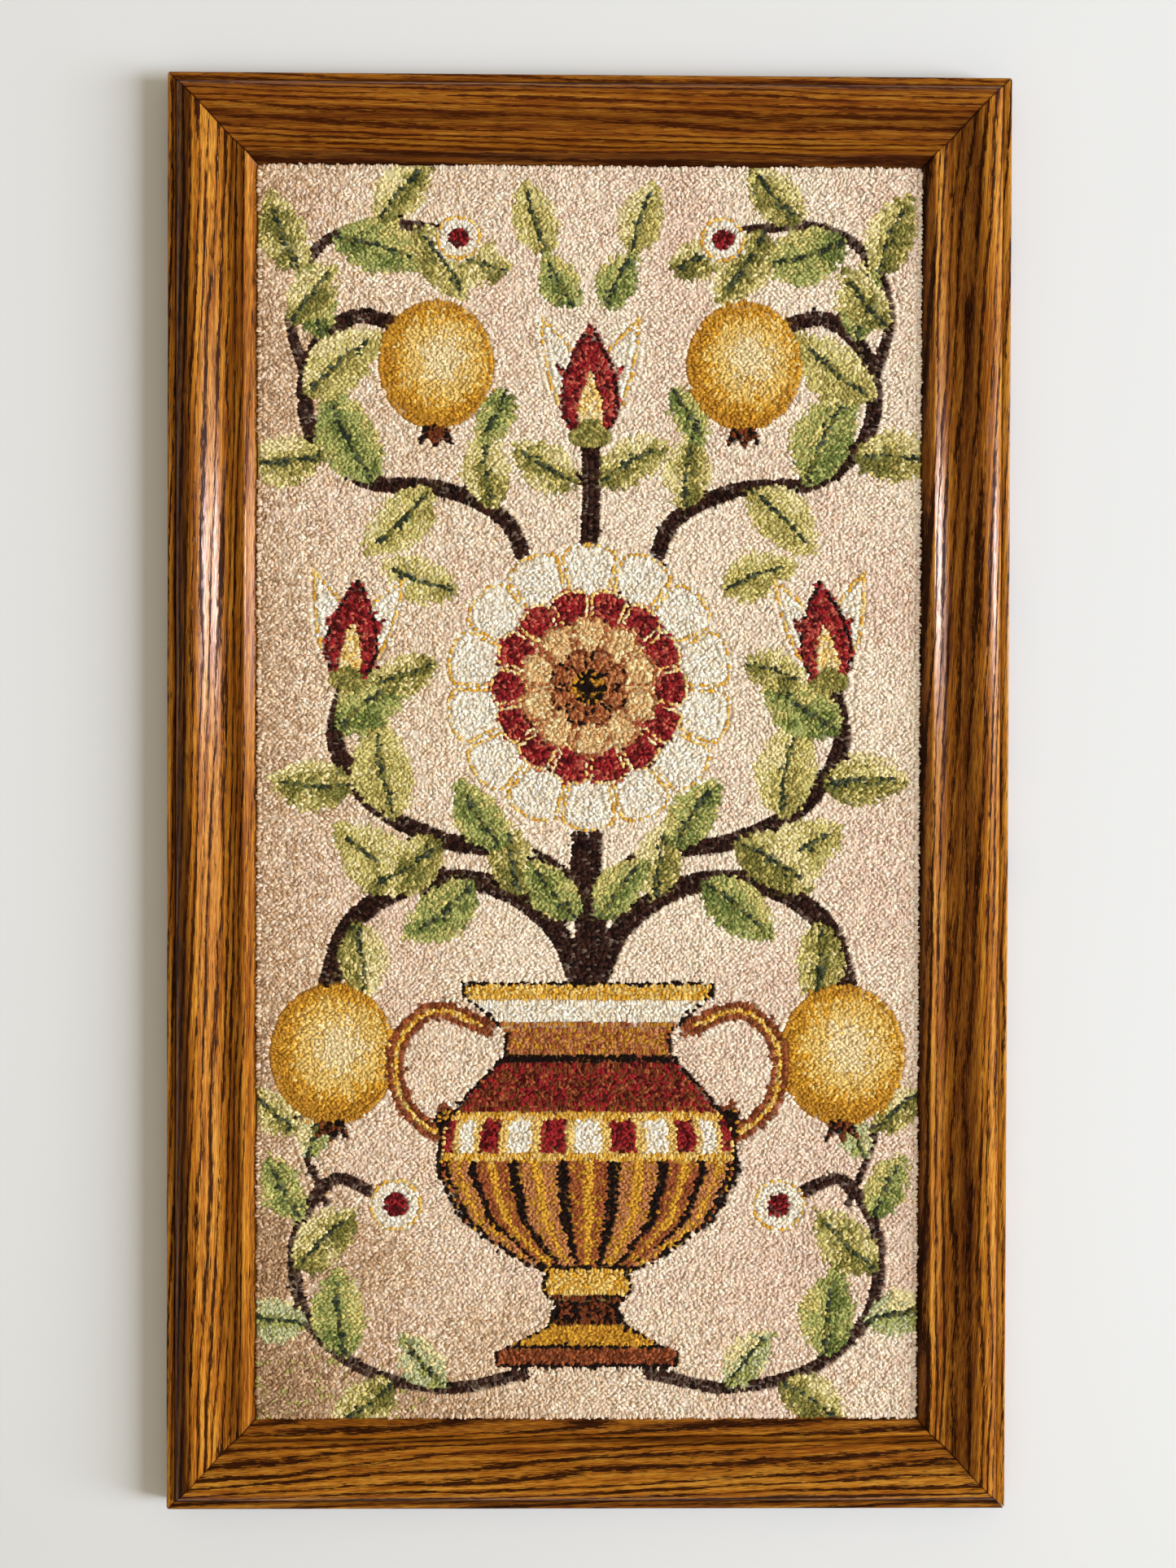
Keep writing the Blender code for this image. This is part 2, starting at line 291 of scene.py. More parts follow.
def oakMaterial():
    wood, shader = newMaterial("stained_oak_varnished", {
        "Roughness": 0.45, "IOR": 1.5, "Specular IOR Level": 0.1, "Coat Roughness": 0.16, "Coat IOR": 1.5})
    links = wood.node_tree.links
    grain = addNode(wood, "Attribute", out="Vector", attribute_name="grain")  # mm in the stick
    stick = {name: addNode(wood, "Attribute", out="Fac", attribute_name=name)
             for name in ("ring", "springWood", "stainAndShade", "shadeWash", "shine")}
    field = {}
    for name, (long, wide, detail) in oak["fields"].items():
        finer = (1 / long, 1 / wide, 1 / wide)
        patch = addNode(wood, "VectorMath", {0: grain, 1: finer}, operation="MULTIPLY")
        field[name] = addNode(wood, "TexNoise", {"Vector": patch, "Scale": 1.0, "Detail": detail})

    # how deep in its ring a point lies, from 0 in summer wood to 0.5 in spring wood, and how dense the pores
    # are
    wavy = addNode(wood, "CombineXYZ", {0: stick["ring"], 1: field["wander"], 2: field["ripple"]})
    depth = addNode(wood, "VectorMath", {0: wavy, 1: oak["ringShares"]}, "Value", operation="DOT_PRODUCT")
    spring = addNode(wood, "Math", {0: depth, 1: 0.5}, operation="PINGPONG")
    mixed = addNode(wood, "CombineXYZ", {0: spring, 1: field["pores"], 2: field["patches"]})
    dense = addNode(wood, "VectorMath", {0: mixed, 1: oak["poreShares"]}, "Value", operation="DOT_PRODUCT")
    over = addNode(wood, "Math", {0: dense, 1: stick["springWood"]}, operation="SUBTRACT")
    rows = addNode(wood, "MapRange", {"Value": over, "From Min": -oak["poreEdge"],
                                      "From Max": oak["poreEdge"]})
    dashes = addNode(wood, "MapRange", {"Value": field["dashes"], "From Min": oak["dashFrom"],
                                        "From Max": oak["dashTo"], "To Max": oak["dashDark"]})
    pores = addNode(wood, "Math", {0: rows, 1: dashes}, operation="MAXIMUM")

    shades = addNode(wood, "CombineXYZ", {0: field["streaks"], 1: field["fibres"], 2: spring})
    tone = addNode(wood, "VectorMath", {0: shades, 1: oak["toneShares"]}, "Value", operation="DOT_PRODUCT")
    toned = addNode(wood, "Math", {0: stick["stainAndShade"], 1: oak["stainShadeTone"], 2: tone}, operation="MULTIPLY_ADD")
    gold = fillRamp(addNode(wood, "ValToRGB", {"Fac": toned}), oak["tones"])
    warm = addNode(wood, "MapRange", {"Value": field["fibres"], "From Min": oak["warmFrom"],
                                      "From Max": oak["warmTo"]})
    dark = addNode(wood, "Mix", {0: warm, 6: oak["pore"], 7: oak["poreWarm"]}, 2, data_type="RGBA")
    porous = addNode(wood, "Mix", {0: pores, 6: gold, 7: dark}, 2, data_type="RGBA")
    # painted shade: a wash over the whole stick, strongest on the top one, whose faces turn down from the
    # light
    shadeWashed = addNode(wood, "Mix", {0: stick["shadeWash"], 6: porous, 7: oak["shadeWash"]}, 2, data_type="RGBA")
    thin = addNode(wood, "MapRange", {"Value": field["spread"], "From Min": oak["thinFrom"],
                                      "From Max": oak["thinTo"], "To Min": oak["thinLeast"]})
    # the stain thins out in patches; what it mixes in is stain and painted shade
    stainAndShadeMix = addNode(wood, "Math", {0: stick["stainAndShade"], 1: thin}, operation="MULTIPLY")
    stained = addNode(wood, "Mix", {0: stainAndShadeMix, 6: shadeWashed, 7: oak["stainAndShade"]}, 2, data_type="RGBA")
    links.new(stained, shader.inputs["Base Color"])

    varnish = addNode(wood, "MapRange", {"Value": pores, "To Min": 1.0, "To Max": oak["poreGloss"]})
    glossy = addNode(wood, "Math", {0: varnish, 1: stick["shine"]}, operation="MULTIPLY")
    links.new(glossy, shader.inputs["Coat Weight"])
    for socket, depth in (("Normal", oak["poreDepth"]), ("Coat Normal", oak["varnishDip"])):
        level = addNode(wood, "Math", {0: field["fibres"], 1: pores}, operation="SUBTRACT")
        bump = addNode(wood, "Bump", {"Strength": oak["bump"], "Distance": depth * mm, "Height": level})
        links.new(bump, shader.inputs[socket])
    return wood


# The moulding in section, in millimetres. It is the CAD's section, but for a bead 0.6 mm wider, which puts
# the groove beside it where the photo shows it.
moulding = {
    "width": 63.5, "beadWidth": 5.9, "beadRise": 20.0, "beadRound": 1.6, "beadEase": (0.35, 0.18),
    "quirkDepth": 0.9,
    "shoulderAcross": 19.0, "shoulderRise": 28.0, "scoopAcross": 43.0, "scoopRise": 15.0,
    "crestAcross": 54.5, "crestRise": 19.3, "crestPower": 1.4, "crestRound": 2.4, "crestBow": (0.22, 0.72),
    "lipRise": 9.5, "lipRound": 0.5, "rabbetWidth": 8.0, "rabbetDepth": 8.0, "mitreGap": 0.3,
    "cornerRadius": 2.6,
    "endSteps": (0.0, 0.5, 1.1, 1.9, 2.9, 4.5, 8.0), "step": 16.0, "openTip": 0.55, "openReach": 5.0,
}
# Turn about +Y in degrees; outer length; how the rings lie: their slant in the end grain, width, bow and
# drift across the stick; springWood, the level that pores must pass, and what the lip adds to it: fewer
# pores paint light on the left lip, which faces the light, and more paint shade on the others; the bands
# across the stick as (middle, spread, strength), darker where more than 0 and paler where less: some
# stain by the groove and the outer edge, painted shade where a face turns from the light (the top, right
# and bottom lips, the scoops of the top and right sticks, the left stick's outer slope, the bottom crest's
# lower side) and painted light where a face catches it (the beads, the crests, the right stick's outer
# slope, the tail of the left stick's highlight); wash, a painted shade over the whole stick, most on the
# top one, whose faces turn down from the light; open, the end whose mitre gapes.
sticks = (
    {"name": "top", "turn": 0, "length": frameWide, "slant": 78, "rings": 5.0, "bow": 0.00003, "bowAt": 160,
     "drift": -0.012, "springWood": 2.76, "lipPoresLightAndShade": -0.2, "shadeWash": 0.36, "open": 0,
     "stainShadeAndLightBands": ((7.0, 2.2, 0.35), (3.4, 1.8, -0.7), (32.0, 6.0, 0.36), (49.0, 4.5, -0.9), (60.0, 4.6, 1.0))},
    {"name": "right", "turn": 90, "length": frameHigh, "slant": 70, "rings": 6.2, "bow": 0.00004,
     "bowAt": -380, "drift": -0.06, "springWood": 2.82, "lipPoresLightAndShade": -0.3, "shadeWash": 0.05, "open": 1,
     "stainShadeAndLightBands": ((10.0, 8.0, -0.5), (2.6, 3.2, -0.9), (7.2, 1.2, 0.5), (29.0, 6.5, 0.22), (52.5, 4.5, -0.9),
                (61.5, 3.8, 0.98))},
    {"name": "bottom", "turn": 180, "length": frameWide, "slant": 80, "rings": 6.0, "bow": 0.00002,
     "bowAt": -90, "drift": 0.045, "springWood": 2.72, "lipPoresLightAndShade": -0.1, "shadeWash": 0.05, "open": -1,
     "stainShadeAndLightBands": ((7.0, 2.4, 0.85), (3.6, 1.6, -0.9), (0.8, 1.6, 0.5), (23.0, 9.0, -1.0), (49.0, 2.8, 0.66),
                (60.5, 3.6, 0.22))},
    {"name": "left", "turn": -90, "length": frameHigh, "slant": 74, "rings": 4.8, "bow": 0.00001, "bowAt": 60,
     "drift": -0.025, "springWood": 2.76, "lipPoresLightAndShade": 0.7, "shadeWash": 0.0, "open": 0,
     "stainShadeAndLightBands": ((12.5, 5.6, 0.80), (2.4, 2.4, -1.0), (31.0, 8.0, -0.45), (47.0, 3.0, 0.05))},
)


def mouldingSection():
    # closed outline (across, rise) from the back's outer edge: quarter ellipses for the bead and the
    # shoulder, half a cosine wave down to the scoop, a power curve that steepens up to the crest, the
    # straight lip and the rabbet
    m = moulding

    def quarter(a0, h0, a1, h1, steps):
        angle = np.linspace(0, math.pi / 2, steps + 1)[1:]
        return np.stack([a0 + (a1 - a0) * (1 - np.cos(angle)), h0 + (h1 - h0) * np.sin(angle)], 1)

    def wave(a0, h0, a1, h1, steps):
        share = np.linspace(0, 1, steps + 1)[1:]
        return np.stack([a0 + (a1 - a0) * share, h0 + (h1 - h0) * (1 - np.cos(math.pi * share)) / 2], 1)

    quirk = (m["beadWidth"] + m["quirkDepth"] / 3, m["beadRise"] - m["quirkDepth"])
    backWidth = m["width"] - m["rabbetWidth"]
    lip, crest, (lift, fall) = m["lipRound"], m["crestRound"], m["crestBow"]
    share = np.linspace(0, 1, 15)[1:]
    climb = np.stack([m["scoopAcross"] + (m["crestAcross"] - m["scoopAcross"]) * share,
                      m["scoopRise"] + (m["crestRise"] - m["scoopRise"]) * share ** m["crestPower"]], 1)
    crestTurn = [(m["crestAcross"] + crest * s, m["crestRise"] + crest * (lift * s - fall * s ** 2))
                 for s in (0.25, 0.5, 0.75, 1)]
    return np.vstack([
        [(0, 0), (0, m["beadRise"] - m["beadRound"])],
        quarter(0, m["beadRise"] - m["beadRound"], m["beadRound"], m["beadRise"], 5),
        [(m["beadWidth"] - m["beadEase"][0], m["beadRise"]),
         (m["beadWidth"], m["beadRise"] - m["beadEase"][1]), quirk],
        quarter(*quirk, m["shoulderAcross"], m["shoulderRise"], 14),
        wave(m["shoulderAcross"], m["shoulderRise"], m["scoopAcross"], m["scoopRise"], 22),
        climb, crestTurn,
        [(m["width"] - lip, m["lipRise"] + lip / 2), (m["width"] - lip / 4, m["lipRise"] + lip / 8),
         (m["width"], m["lipRise"] - lip / 2), (m["width"], m["rabbetDepth"]),
         (backWidth, m["rabbetDepth"]), (backWidth, 0)],
    ])


def band(value, middle, spread, strength=1.0):
    # a bell curve over a value
    return strength * np.exp(-((value - middle) / spread) ** 2)


def stickMesh(stick):
    # the section carried along the stick: each point's run ends on the mitre plane, x = half length - across
    section = mouldingSection()
    across, rise = section.T
    half = stick["length"] / 2
    ends = np.array(moulding["endSteps"])
    middle = np.linspace(-1, 1, int(stick["length"] / moulding["step"]))
    inner = half - across - moulding["mitreGap"] / math.sqrt(2) - ends[-1]
    opened = moulding["openTip"] * np.clip(1 - across / moulding["openReach"], 0, 1)
    first = -(inner + ends[-1])[None] + ends[:-1, None] + (opened if stick["open"] < 0 else 0)
    last = (inner + ends[-1])[None] - ends[:-1][::-1, None] - (opened if stick["open"] > 0 else 0)
    along = np.vstack([first, middle[:, None] * inner[None], last])
    acrossAll = np.broadcast_to(across, along.shape)
    riseAll = np.broadcast_to(rise, along.shape)
    turn = math.radians(stick["turn"])
    up = (frameWide + frameHigh - stick["length"]) / 2 - acrossAll
    x = along * math.cos(turn) + up * math.sin(turn)
    z = -along * math.sin(turn) + up * math.cos(turn)
    # the frame's corners are worn round: what lies outside the corner's arc comes in to it
    radius = moulding["cornerRadius"]
    pastX = np.abs(x) - (frameWide / 2 - radius)
    pastZ = np.abs(z) - (frameHigh / 2 - radius)
    far = np.hypot(pastX, pastZ)
    pull = np.where((pastX > 0) & (pastZ > 0) & (far > radius), radius / np.maximum(far, 1e-6), 1)
    x = np.where(pull < 1, np.sign(x) * (frameWide / 2 - radius + pastX * pull), x)
    z = np.where(pull < 1, np.sign(z) * (frameHigh / 2 - radius + pastZ * pull), z)
    index = np.arange(along.size).reshape(along.shape)
    nextColumn = np.roll(index, -1, axis=1)
    quads = np.stack([index[:-1], nextColumn[:-1], nextColumn[1:], index[1:]], 2).reshape(-1, 4)
    mesh = meshFromArrays("moulding_" + stick["name"], wallPoints(frameMiddle, x, z, riseAll),
                          [quads, index[0][::-1][None], index[-1][None]])

    # the map: the long sides unrolled below, the two cut ends in a strip above them
    girth = np.concatenate([[0], np.cumsum(np.hypot(*np.diff(np.vstack([section, section[:1]]), axis=0).T))])
    share = girth / girth[-1] * 0.94
    u = (along + half) / (2 * half)
    nextU = np.roll(u, -1, axis=1)
    sideU = np.stack([u[:-1], nextU[:-1], nextU[1:], u[1:]], 2)
    sideV = np.broadcast_to(np.stack([share[:-1], share[1:], share[1:], share[:-1]], 1), sideU.shape)
    endMap = np.stack([0.02 + across / 200, 0.95 + rise / 700], 1)
    cornerMap(mesh, np.vstack([np.stack([sideU, sideV], 3).reshape(-1, 2), endMap[::-1], endMap + (0.5, 0)]))

    shift = random.uniform(200, 900, 3)
    drifted = acrossAll + stick["drift"] * along
    slant = math.radians(stick["slant"])
    ring = drifted * math.sin(slant) + rise * math.cos(slant)
    ring = (ring + stick["bow"] * (along - stick["bowAt"]) ** 2 + shift[1]) / stick["rings"]
    toMitre = (half - across)[None] - np.abs(along)
    # bands across the stick: stain, painted shade where a face turns from the light, painted light where it
    # catches it
    stainAndShade = sum(band(across, *stainAndShade) for stainAndShade in stick["stainShadeAndLightBands"])
    stainAndShade = np.where(rise > oak["stainRise"], stainAndShade + band(across, *oak["grooveStainAndShade"]), 0.0)[None]
    fields = {
        # the lip's pore level: fewer pores paint light on a lip facing the light, more paint shade on the
        # others
        "ring": ring, "springWood": stick["springWood"] + band(across, *oak["lipBand"], stick["lipPoresLightAndShade"]),
        "shadeWash": stick["shadeWash"], "shine": 1 - np.clip(band(across, *oak["grooveDull"]), 0, 1),
        "stainAndShade": np.clip(stainAndShade + band(toMitre, *oak["mitreStain"]), -1, 1),
    }
    grain = np.stack([along, drifted, riseAll], 2).reshape(-1, 3) + shift
    pointAttribute(mesh, "grain", "FLOAT_VECTOR", grain)
    for name, values in fields.items():
        pointAttribute(mesh, name, "FLOAT", np.broadcast_to(values, ring.shape))
    work = bmesh.new()
    work.from_mesh(mesh)
    bmesh.ops.recalc_face_normals(work, faces=work.faces)
    work.to_mesh(mesh)
    work.free()
    mesh.set_sharp_from_angle(angle=math.radians(32))
    return mesh


oakStuff = oakMaterial()
for stick in sticks:
    piece = addPiece("moulding_" + stick["name"], stickMesh(stick), oakStuff)
    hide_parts("rail_" + stick["name"])
print("moulding made")


# The picture in wool is a plain traditional one: a footed urn of flowers with scrolling stems, fruit and
# leaves, the same on both sides of the middle line. It is planned on a map of the opening with two cells to
# a millimetre.
rug = {
    "wide": frameWide - 2 * moulding["width"], "high": frameHigh - 2 * moulding["width"],
    "tipRise": -rugLow[1] / mm, "backRise": -rugHigh[1] / mm, "clothThick": 1.5,
    "rowPitch": 4.0, "loopPitch": 2.0, "halfLong": 2.38, "halfWide": 1.14, "cell": 0.5, "thin": 4.0,
}
rugMiddle = ((rugLow[0] + rugHigh[0]) / 2, (rugLow[2] + rugHigh[2]) / 2)
rugHalf = np.array([rug["wide"], rug["high"]]) / 2
yarns = {
    "cream": "#FFEBD6", "sand": "#F1D7BB", "rose": "#F5DAC6", "tan": "#D0AE8C", "umber": "#AE8B69",
    "fleck": "#B3AE62", "leafPale": "#F2E5AC", "leafLight": "#DACF82", "leafMid": "#B1A65C",
    "leafDark": "#7E7C3C", "leafDeep": "#758443", "leafGreen": "#AFB56A", "leafCool": "#C6CC9E",
    "vein": "#303A2C", "veinGreen": "#5A6248", "bark": "#3E2119", "barkDark": "#200B05", "barkGrey": "#6A574C",
    "goldDeep": "#C68E2C", "gold": "#E4AC38", "goldLight": "#F2CE78", "butter": "#FBE4B0", "rust": "#A65A34",
    "brown": "#7A3C1E", "copper": "#C88654", "honey": "#E6BB82", "ink": "#1A0B07", "crimson": "#A0242A",
    "rosewood": "#C85E4E", "maroon": "#560C10", "white": "#FFF8EA", "ivory": "#F6E9D2",
}
yarnNumber = {name: number for number, name in enumerate(yarns)}
yarnTable = np.array([linearColour(code) for code in yarns.values()])
cells = (int(rug["high"] / rug["cell"]) + 1, int(rug["wide"] / rug["cell"]) + 1)
lastCell = (cells[1] - 1, cells[0] - 1)
owner = np.zeros(cells, np.int16)
taken = np.zeros(cells, bool)


def numbersOf(*names):
    return np.array([yarnNumber[name] for name in names])


def yarnPicker(yarn):
    # what gives each point its yarn: a function as it is, or one of several named yarns at random
    if not isinstance(yarn, tuple):
        return yarn
    numbers = numbersOf(*yarn)
    return lambda points: numbers[random.integers(0, len(numbers), len(points))]


def cellOf(points):
    # the map cell of each point, in rows and columns, kept on the map
    column, row = np.clip(((points + rugHalf) / rug["cell"]).round().astype(int), 0, lastCell).T
    return row, column


def softNoise(points, size, seed):
    # values from 0 to 1 that change smoothly over about this many millimetres: a lattice blended by a smooth
    # step
    lattice = np.random.default_rng(seed).random((64, 64))
    place = points / size + 1000
    whole = np.floor(place).astype(int)
    part = place - whole
    part = part * part * (3 - 2 * part)
    i, j = whole[:, 0] % 63, whole[:, 1] % 63
    low = lattice[i, j] * (1 - part[:, 0]) + lattice[i + 1, j] * part[:, 0]
    high = lattice[i, j + 1] * (1 - part[:, 0]) + lattice[i + 1, j + 1] * part[:, 0]
    return low * (1 - part[:, 1]) + high * part[:, 1]


def mottled(points, strength, size, seed):
    # soft patches, lighter and darker by up to half their strength
    return strength * (softNoise(points, size, seed) - 0.5)


# Oatmeal wool in four dye lots: darker to the left, below and along the left rim, mottled all over, pink in
# patches
ground = {
    "yarns": ("cream", "sand", "tan", "umber"), "left": (0.33, 0.05), "low": (0.42, 0.55), "rim": (0.50, 0.86),
    "mottle": (0.13, 55.0, 3), "speck": (0.05, 13.0, 4), "stray": 0.12, "base": 0.05, "pinkPatch": (70.0, 9),
    "pinkStray": 0.3, "pinkFrom": 0.72, "pinkBelow": 0.4, "greenShare": 0.10,
}


def groundYarn(points):
    u, v = points[:, 0] / (rug["wide"] / 2), points[:, 1] / (rug["high"] / 2)
    (left, leftFrom), (low, lowFrom), (rim, rimFrom) = ground["left"], ground["low"], ground["rim"]
    dark = left * np.clip(-u - leftFrom, 0, 1) + low * np.clip(-v - lowFrom, 0, 1) * (1.1 - 0.5 * u)
    dark += rim * np.clip(-u - rimFrom, 0, 1) + mottled(points, *ground["mottle"])
    stray = random.uniform(-ground["stray"], ground["stray"], len(points)) * (1 - 0.4 * u)
    dark += mottled(points, *ground["speck"]) + stray + ground["base"]
    number = numbersOf(*ground["yarns"])[np.clip((dark * 5.0).astype(int), 0, 3)]
    pink = softNoise(points, *ground["pinkPatch"])
    pink = pink + random.uniform(-ground["pinkStray"], ground["pinkStray"], len(points)) > ground["pinkFrom"]
    number = np.where(pink & (dark < ground["pinkBelow"]), yarnNumber["rose"], number)
    green = (u < -0.5) & (v < -0.9) & (random.random(len(points)) < ground["greenShare"])
    return np.where(green, yarnNumber["fleck"], number)


motifs = [{"yarn": groundYarn, "rows": [], "edge": None, "around": None, "ragged": 1.0}]


def yarnAt(points, owners):
    # the yarn of each point, which the motif that owns it gives
    picked = np.zeros(len(points), int)
    for number in np.unique(owners):
        mine = owners == number
        picked[mine] = motifs[number]["yarn"](points[mine])
    return picked


def evenSteps(curve, spacing):
    # the same line with points an even distance apart along it
    length = np.concatenate([[0], np.cumsum(np.hypot(*np.diff(curve, axis=0).T))])
    at = np.linspace(0, length[-1], max(int(round(length[-1] / spacing)), 1) + 1)
    return np.stack([np.interp(at, length, curve[:, 0]), np.interp(at, length, curve[:, 1])], 1)


def smoothPath(points):
    # a curve through given points, each stretch a cubic that meets the next one without a corner
    p = np.array(points, float)
    p = np.vstack([2 * p[0] - p[1], p, 2 * p[-1] - p[-2]])
    t = np.linspace(0, 1, 20, endpoint=False)[:, None]
    parts = [0.5 * (2 * b + (c - a) * t + (2 * a - 5 * b + 4 * c - d) * t ** 2
                    + (3 * b - a - 3 * c + d) * t ** 3)
             for a, b, c, d in zip(p[:-3], p[1:-2], p[2:-1], p[3:])]
    return evenSteps(np.vstack(parts + [p[-2:-1]]), 1.0)


def sideways(line):
    # unit vectors to the left of a line's run
    run = np.gradient(line, axis=0)
    run /= np.maximum(np.hypot(*run.T), 1e-9)[:, None]
    return np.stack([-run[:, 1], run[:, 0]], 1)


def insideOf(outline, points):
    # even-odd rule: a point is inside if a ray to its right crosses the outline an odd number of times
    a, b = outline, np.roll(outline, -1, axis=0)
    u, v = points[:, 0][:, None], points[:, 1][:, None]
    spans = (a[:, 1] > v) != (b[:, 1] > v)
    rise = np.where(b[:, 1] == a[:, 1], 1e-9, b[:, 1] - a[:, 1])
    return ((spans & (u < (b[:, 0] - a[:, 0]) * (v - a[:, 1]) / rise + a[:, 0])).sum(1) % 2).astype(bool)


def mapBox(points, margin):
    # the map cells around some points, with their places
    low = np.floor((points.min(0) - margin + rugHalf) / rug["cell"]).astype(int)
    high = np.ceil((points.max(0) + margin + rugHalf) / rug["cell"]).astype(int)
    low, high = np.maximum(low, 0), np.minimum(high, lastCell)
    column, row = np.meshgrid(np.arange(low[0], high[0] + 1), np.arange(low[1], high[1] + 1))
    place = np.stack([column, row], 2) * rug["cell"] - rugHalf
    return row.ravel(), column.ravel(), place.reshape(-1, 2)


def paintPatch(outline, yarn, rows=1, edge=None, ragged=0.5):
    # a closed shape: its rows of loops follow its outline inwards, and plain filling does the rest
    outline = np.asarray(outline, float)
    row, column, place = mapBox(outline, 0)
    if not len(row):
        return
    held = insideOf(outline, place)
    owner[row[held], column[held]] = len(motifs)
    line = evenSteps(np.vstack([outline, outline[:1]]), 1.0)
    inward = sideways(line)
    if (np.roll(line[:, 0], -1) * line[:, 1] - line[:, 0] * np.roll(line[:, 1], -1)).sum() > 0:
        inward = -inward
    motifs.append({"yarn": yarnPicker(yarn), "edge": yarnPicker(edge), "thin": False, "ragged": ragged,
                   "rows": [line + inward * ((0.5 + k) * rug["rowPitch"]) for k in range(rows)],
                   "around": line - inward * rug["rowPitch"] / 2 if rows else None})


def paintStroke(path, width, yarn, echo=False):
    # a line of loops, as many rows wide as its width takes
    row, column, place = mapBox(path, width)
    if not len(row):
        return
    nearest = np.full(len(place), 1e9)
    for step in path[::2]:
        nearest = np.minimum(nearest, (place[:, 0] - step[0]) ** 2 + (place[:, 1] - step[1]) ** 2)
    held = nearest < (width / 2 + 0.2) ** 2
    owner[row[held], column[held]] = len(motifs)
    left = sideways(path)
    count = max(int(round(width / rug["rowPitch"])), 1)
    outer = width / 2 + rug["rowPitch"] / 2
    motifs.append({"yarn": yarnPicker(yarn), "edge": None, "thin": width < rug["thin"], "ragged": 0.3,
                   "rows": [path + left * ((k - (count - 1) / 2) * width / count) for k in range(count)],
                   "around": np.vstack([path + left * outer, (path - left * outer)[::-1]]) if echo else None})


def turned(shape, place, angle):
    # a shape turned by an angle in degrees and moved to its place
    c, s = math.cos(math.radians(angle)), math.sin(math.radians(angle))
    return np.asarray(shape) @ np.array([[c, s], [-s, c]]) + place


# A leaf in shares of its length, and its shades: darker on the lower side and near the rib and the base, in
# patches
leafCut = {
    "half": 0.29, "bow": 0.05, "ribWidth": 2.6, "ragged": 1.3,
    "rib": ("vein", "veinGreen", "vein", "leafDark"),
    "fromRib": 0.5, "upper": 0.18, "tipward": 0.35, "patches": (0.6, 12.0, 5), "stray": 0.20, "base": 0.14,
}
leafKinds = (
    ("leafDark", "leafMid", "leafLight", "leafPale"), ("leafDeep", "leafGreen", "leafGreen", "leafLight"),
    ("leafMid", "leafLight", "leafLight", "leafPale"), ("leafGreen", "leafCool", "leafCool", "leafPale"),
)


def paintLeaf(place, angle, length, kind):
    # half width = w sin(pi s^0.86)^0.8, fuller near its base, with a dark rib of one row
    s = np.linspace(0, 1, 26)
    half = leafCut["half"] * length * np.sin(math.pi * s ** 0.86) ** 0.8
    curve = leafCut["bow"] * length * np.sin(math.pi * s)
    upper = np.stack([s * length, half + curve], 1)
    lower = np.stack([s * length, -half + curve], 1)
    c, t = math.cos(math.radians(angle)), math.sin(math.radians(angle))

    def yarn(points):
        along = (points[:, 0] - place[0]) * c + (points[:, 1] - place[1]) * t
        beside = ((points[:, 1] - place[1]) * c - (points[:, 0] - place[0]) * t) * np.sign(c)
        light = np.abs(beside) / (leafCut["half"] * length) * leafCut["fromRib"]
        light = light + leafCut["upper"] * np.sign(beside) + leafCut["tipward"] * along / length
        light = light + mottled(points, *leafCut["patches"])
        light = light + random.normal(0, leafCut["stray"], len(points)) + leafCut["base"]
        return numbersOf(*leafKinds[kind])[np.clip((light * 4).astype(int), 0, 3)]

    outline = turned(np.vstack([lower, upper[::-1][1:-1]]), place, angle)
    paintPatch(outline, yarn, rows=0, ragged=leafCut["ragged"])
    rib = turned(np.stack([s[2:21] * length, curve[2:21] * 0.9], 1), place, angle)
    paintStroke(evenSteps(rib, 1.0), leafCut["ribWidth"], leafCut["rib"])


def mirroredLeaf(place, angle, length, kind, side):
    # the leaf itself for side 1, its mirror image across the middle line for -1
    paintLeaf(np.array([place[0] * side, place[1]]), angle if side > 0 else 180 - angle, length, kind)


def disc(place, radius, squash=1.0):
    angle = np.linspace(0, 2 * math.pi, 40, endpoint=False)
    return np.stack([place[0] + radius * np.cos(angle), place[1] + radius * squash * np.sin(angle)], 1)


barkYarn = ("bark", "bark", "barkDark", "bark", "bark", "barkGrey", "barkDark", "bark", "barkDark")
greyBark = ("bark", "barkGrey", "bark", "barkDark", "barkGrey")
stems = {
    # yarn, width and the points of the right-hand stem
    "trunk": (barkYarn, 22.0, [(0, -150), (2, -110), (-2, -60), (0, -20)]),
    "lower": (barkYarn, 15.0, [(5, -140), (26, -96), (72, -66), (128, -66), (172, -94), (190, -140)]),
    "middle": (barkYarn, 12.6, [(3, -74), (44, -44), (104, -34), (156, -8), (184, 36), (176, 84)]),
    "upper": (barkYarn, 11.0, [(44, 160), (62, 200), (108, 222), (164, 228), (202, 262), (204, 314),
                               (172, 346), (132, 338)]),
    "crown": (barkYarn, 13.0, [(0, 180), (1, 222), (0, 262)]),
    "corner": (greyBark, 7.5, [(206, 300), (218, 350), (200, 394), (160, 414), (112, 410)]),
    "foot": (greyBark, 9.0, [(46, -424), (104, -434), (164, -420), (206, -380), (212, -322), (186, -282),
                             (154, -292)]),
    "shoot": (greyBark, 4.5, [(190, -300), (206, -262), (212, -232)]),
}
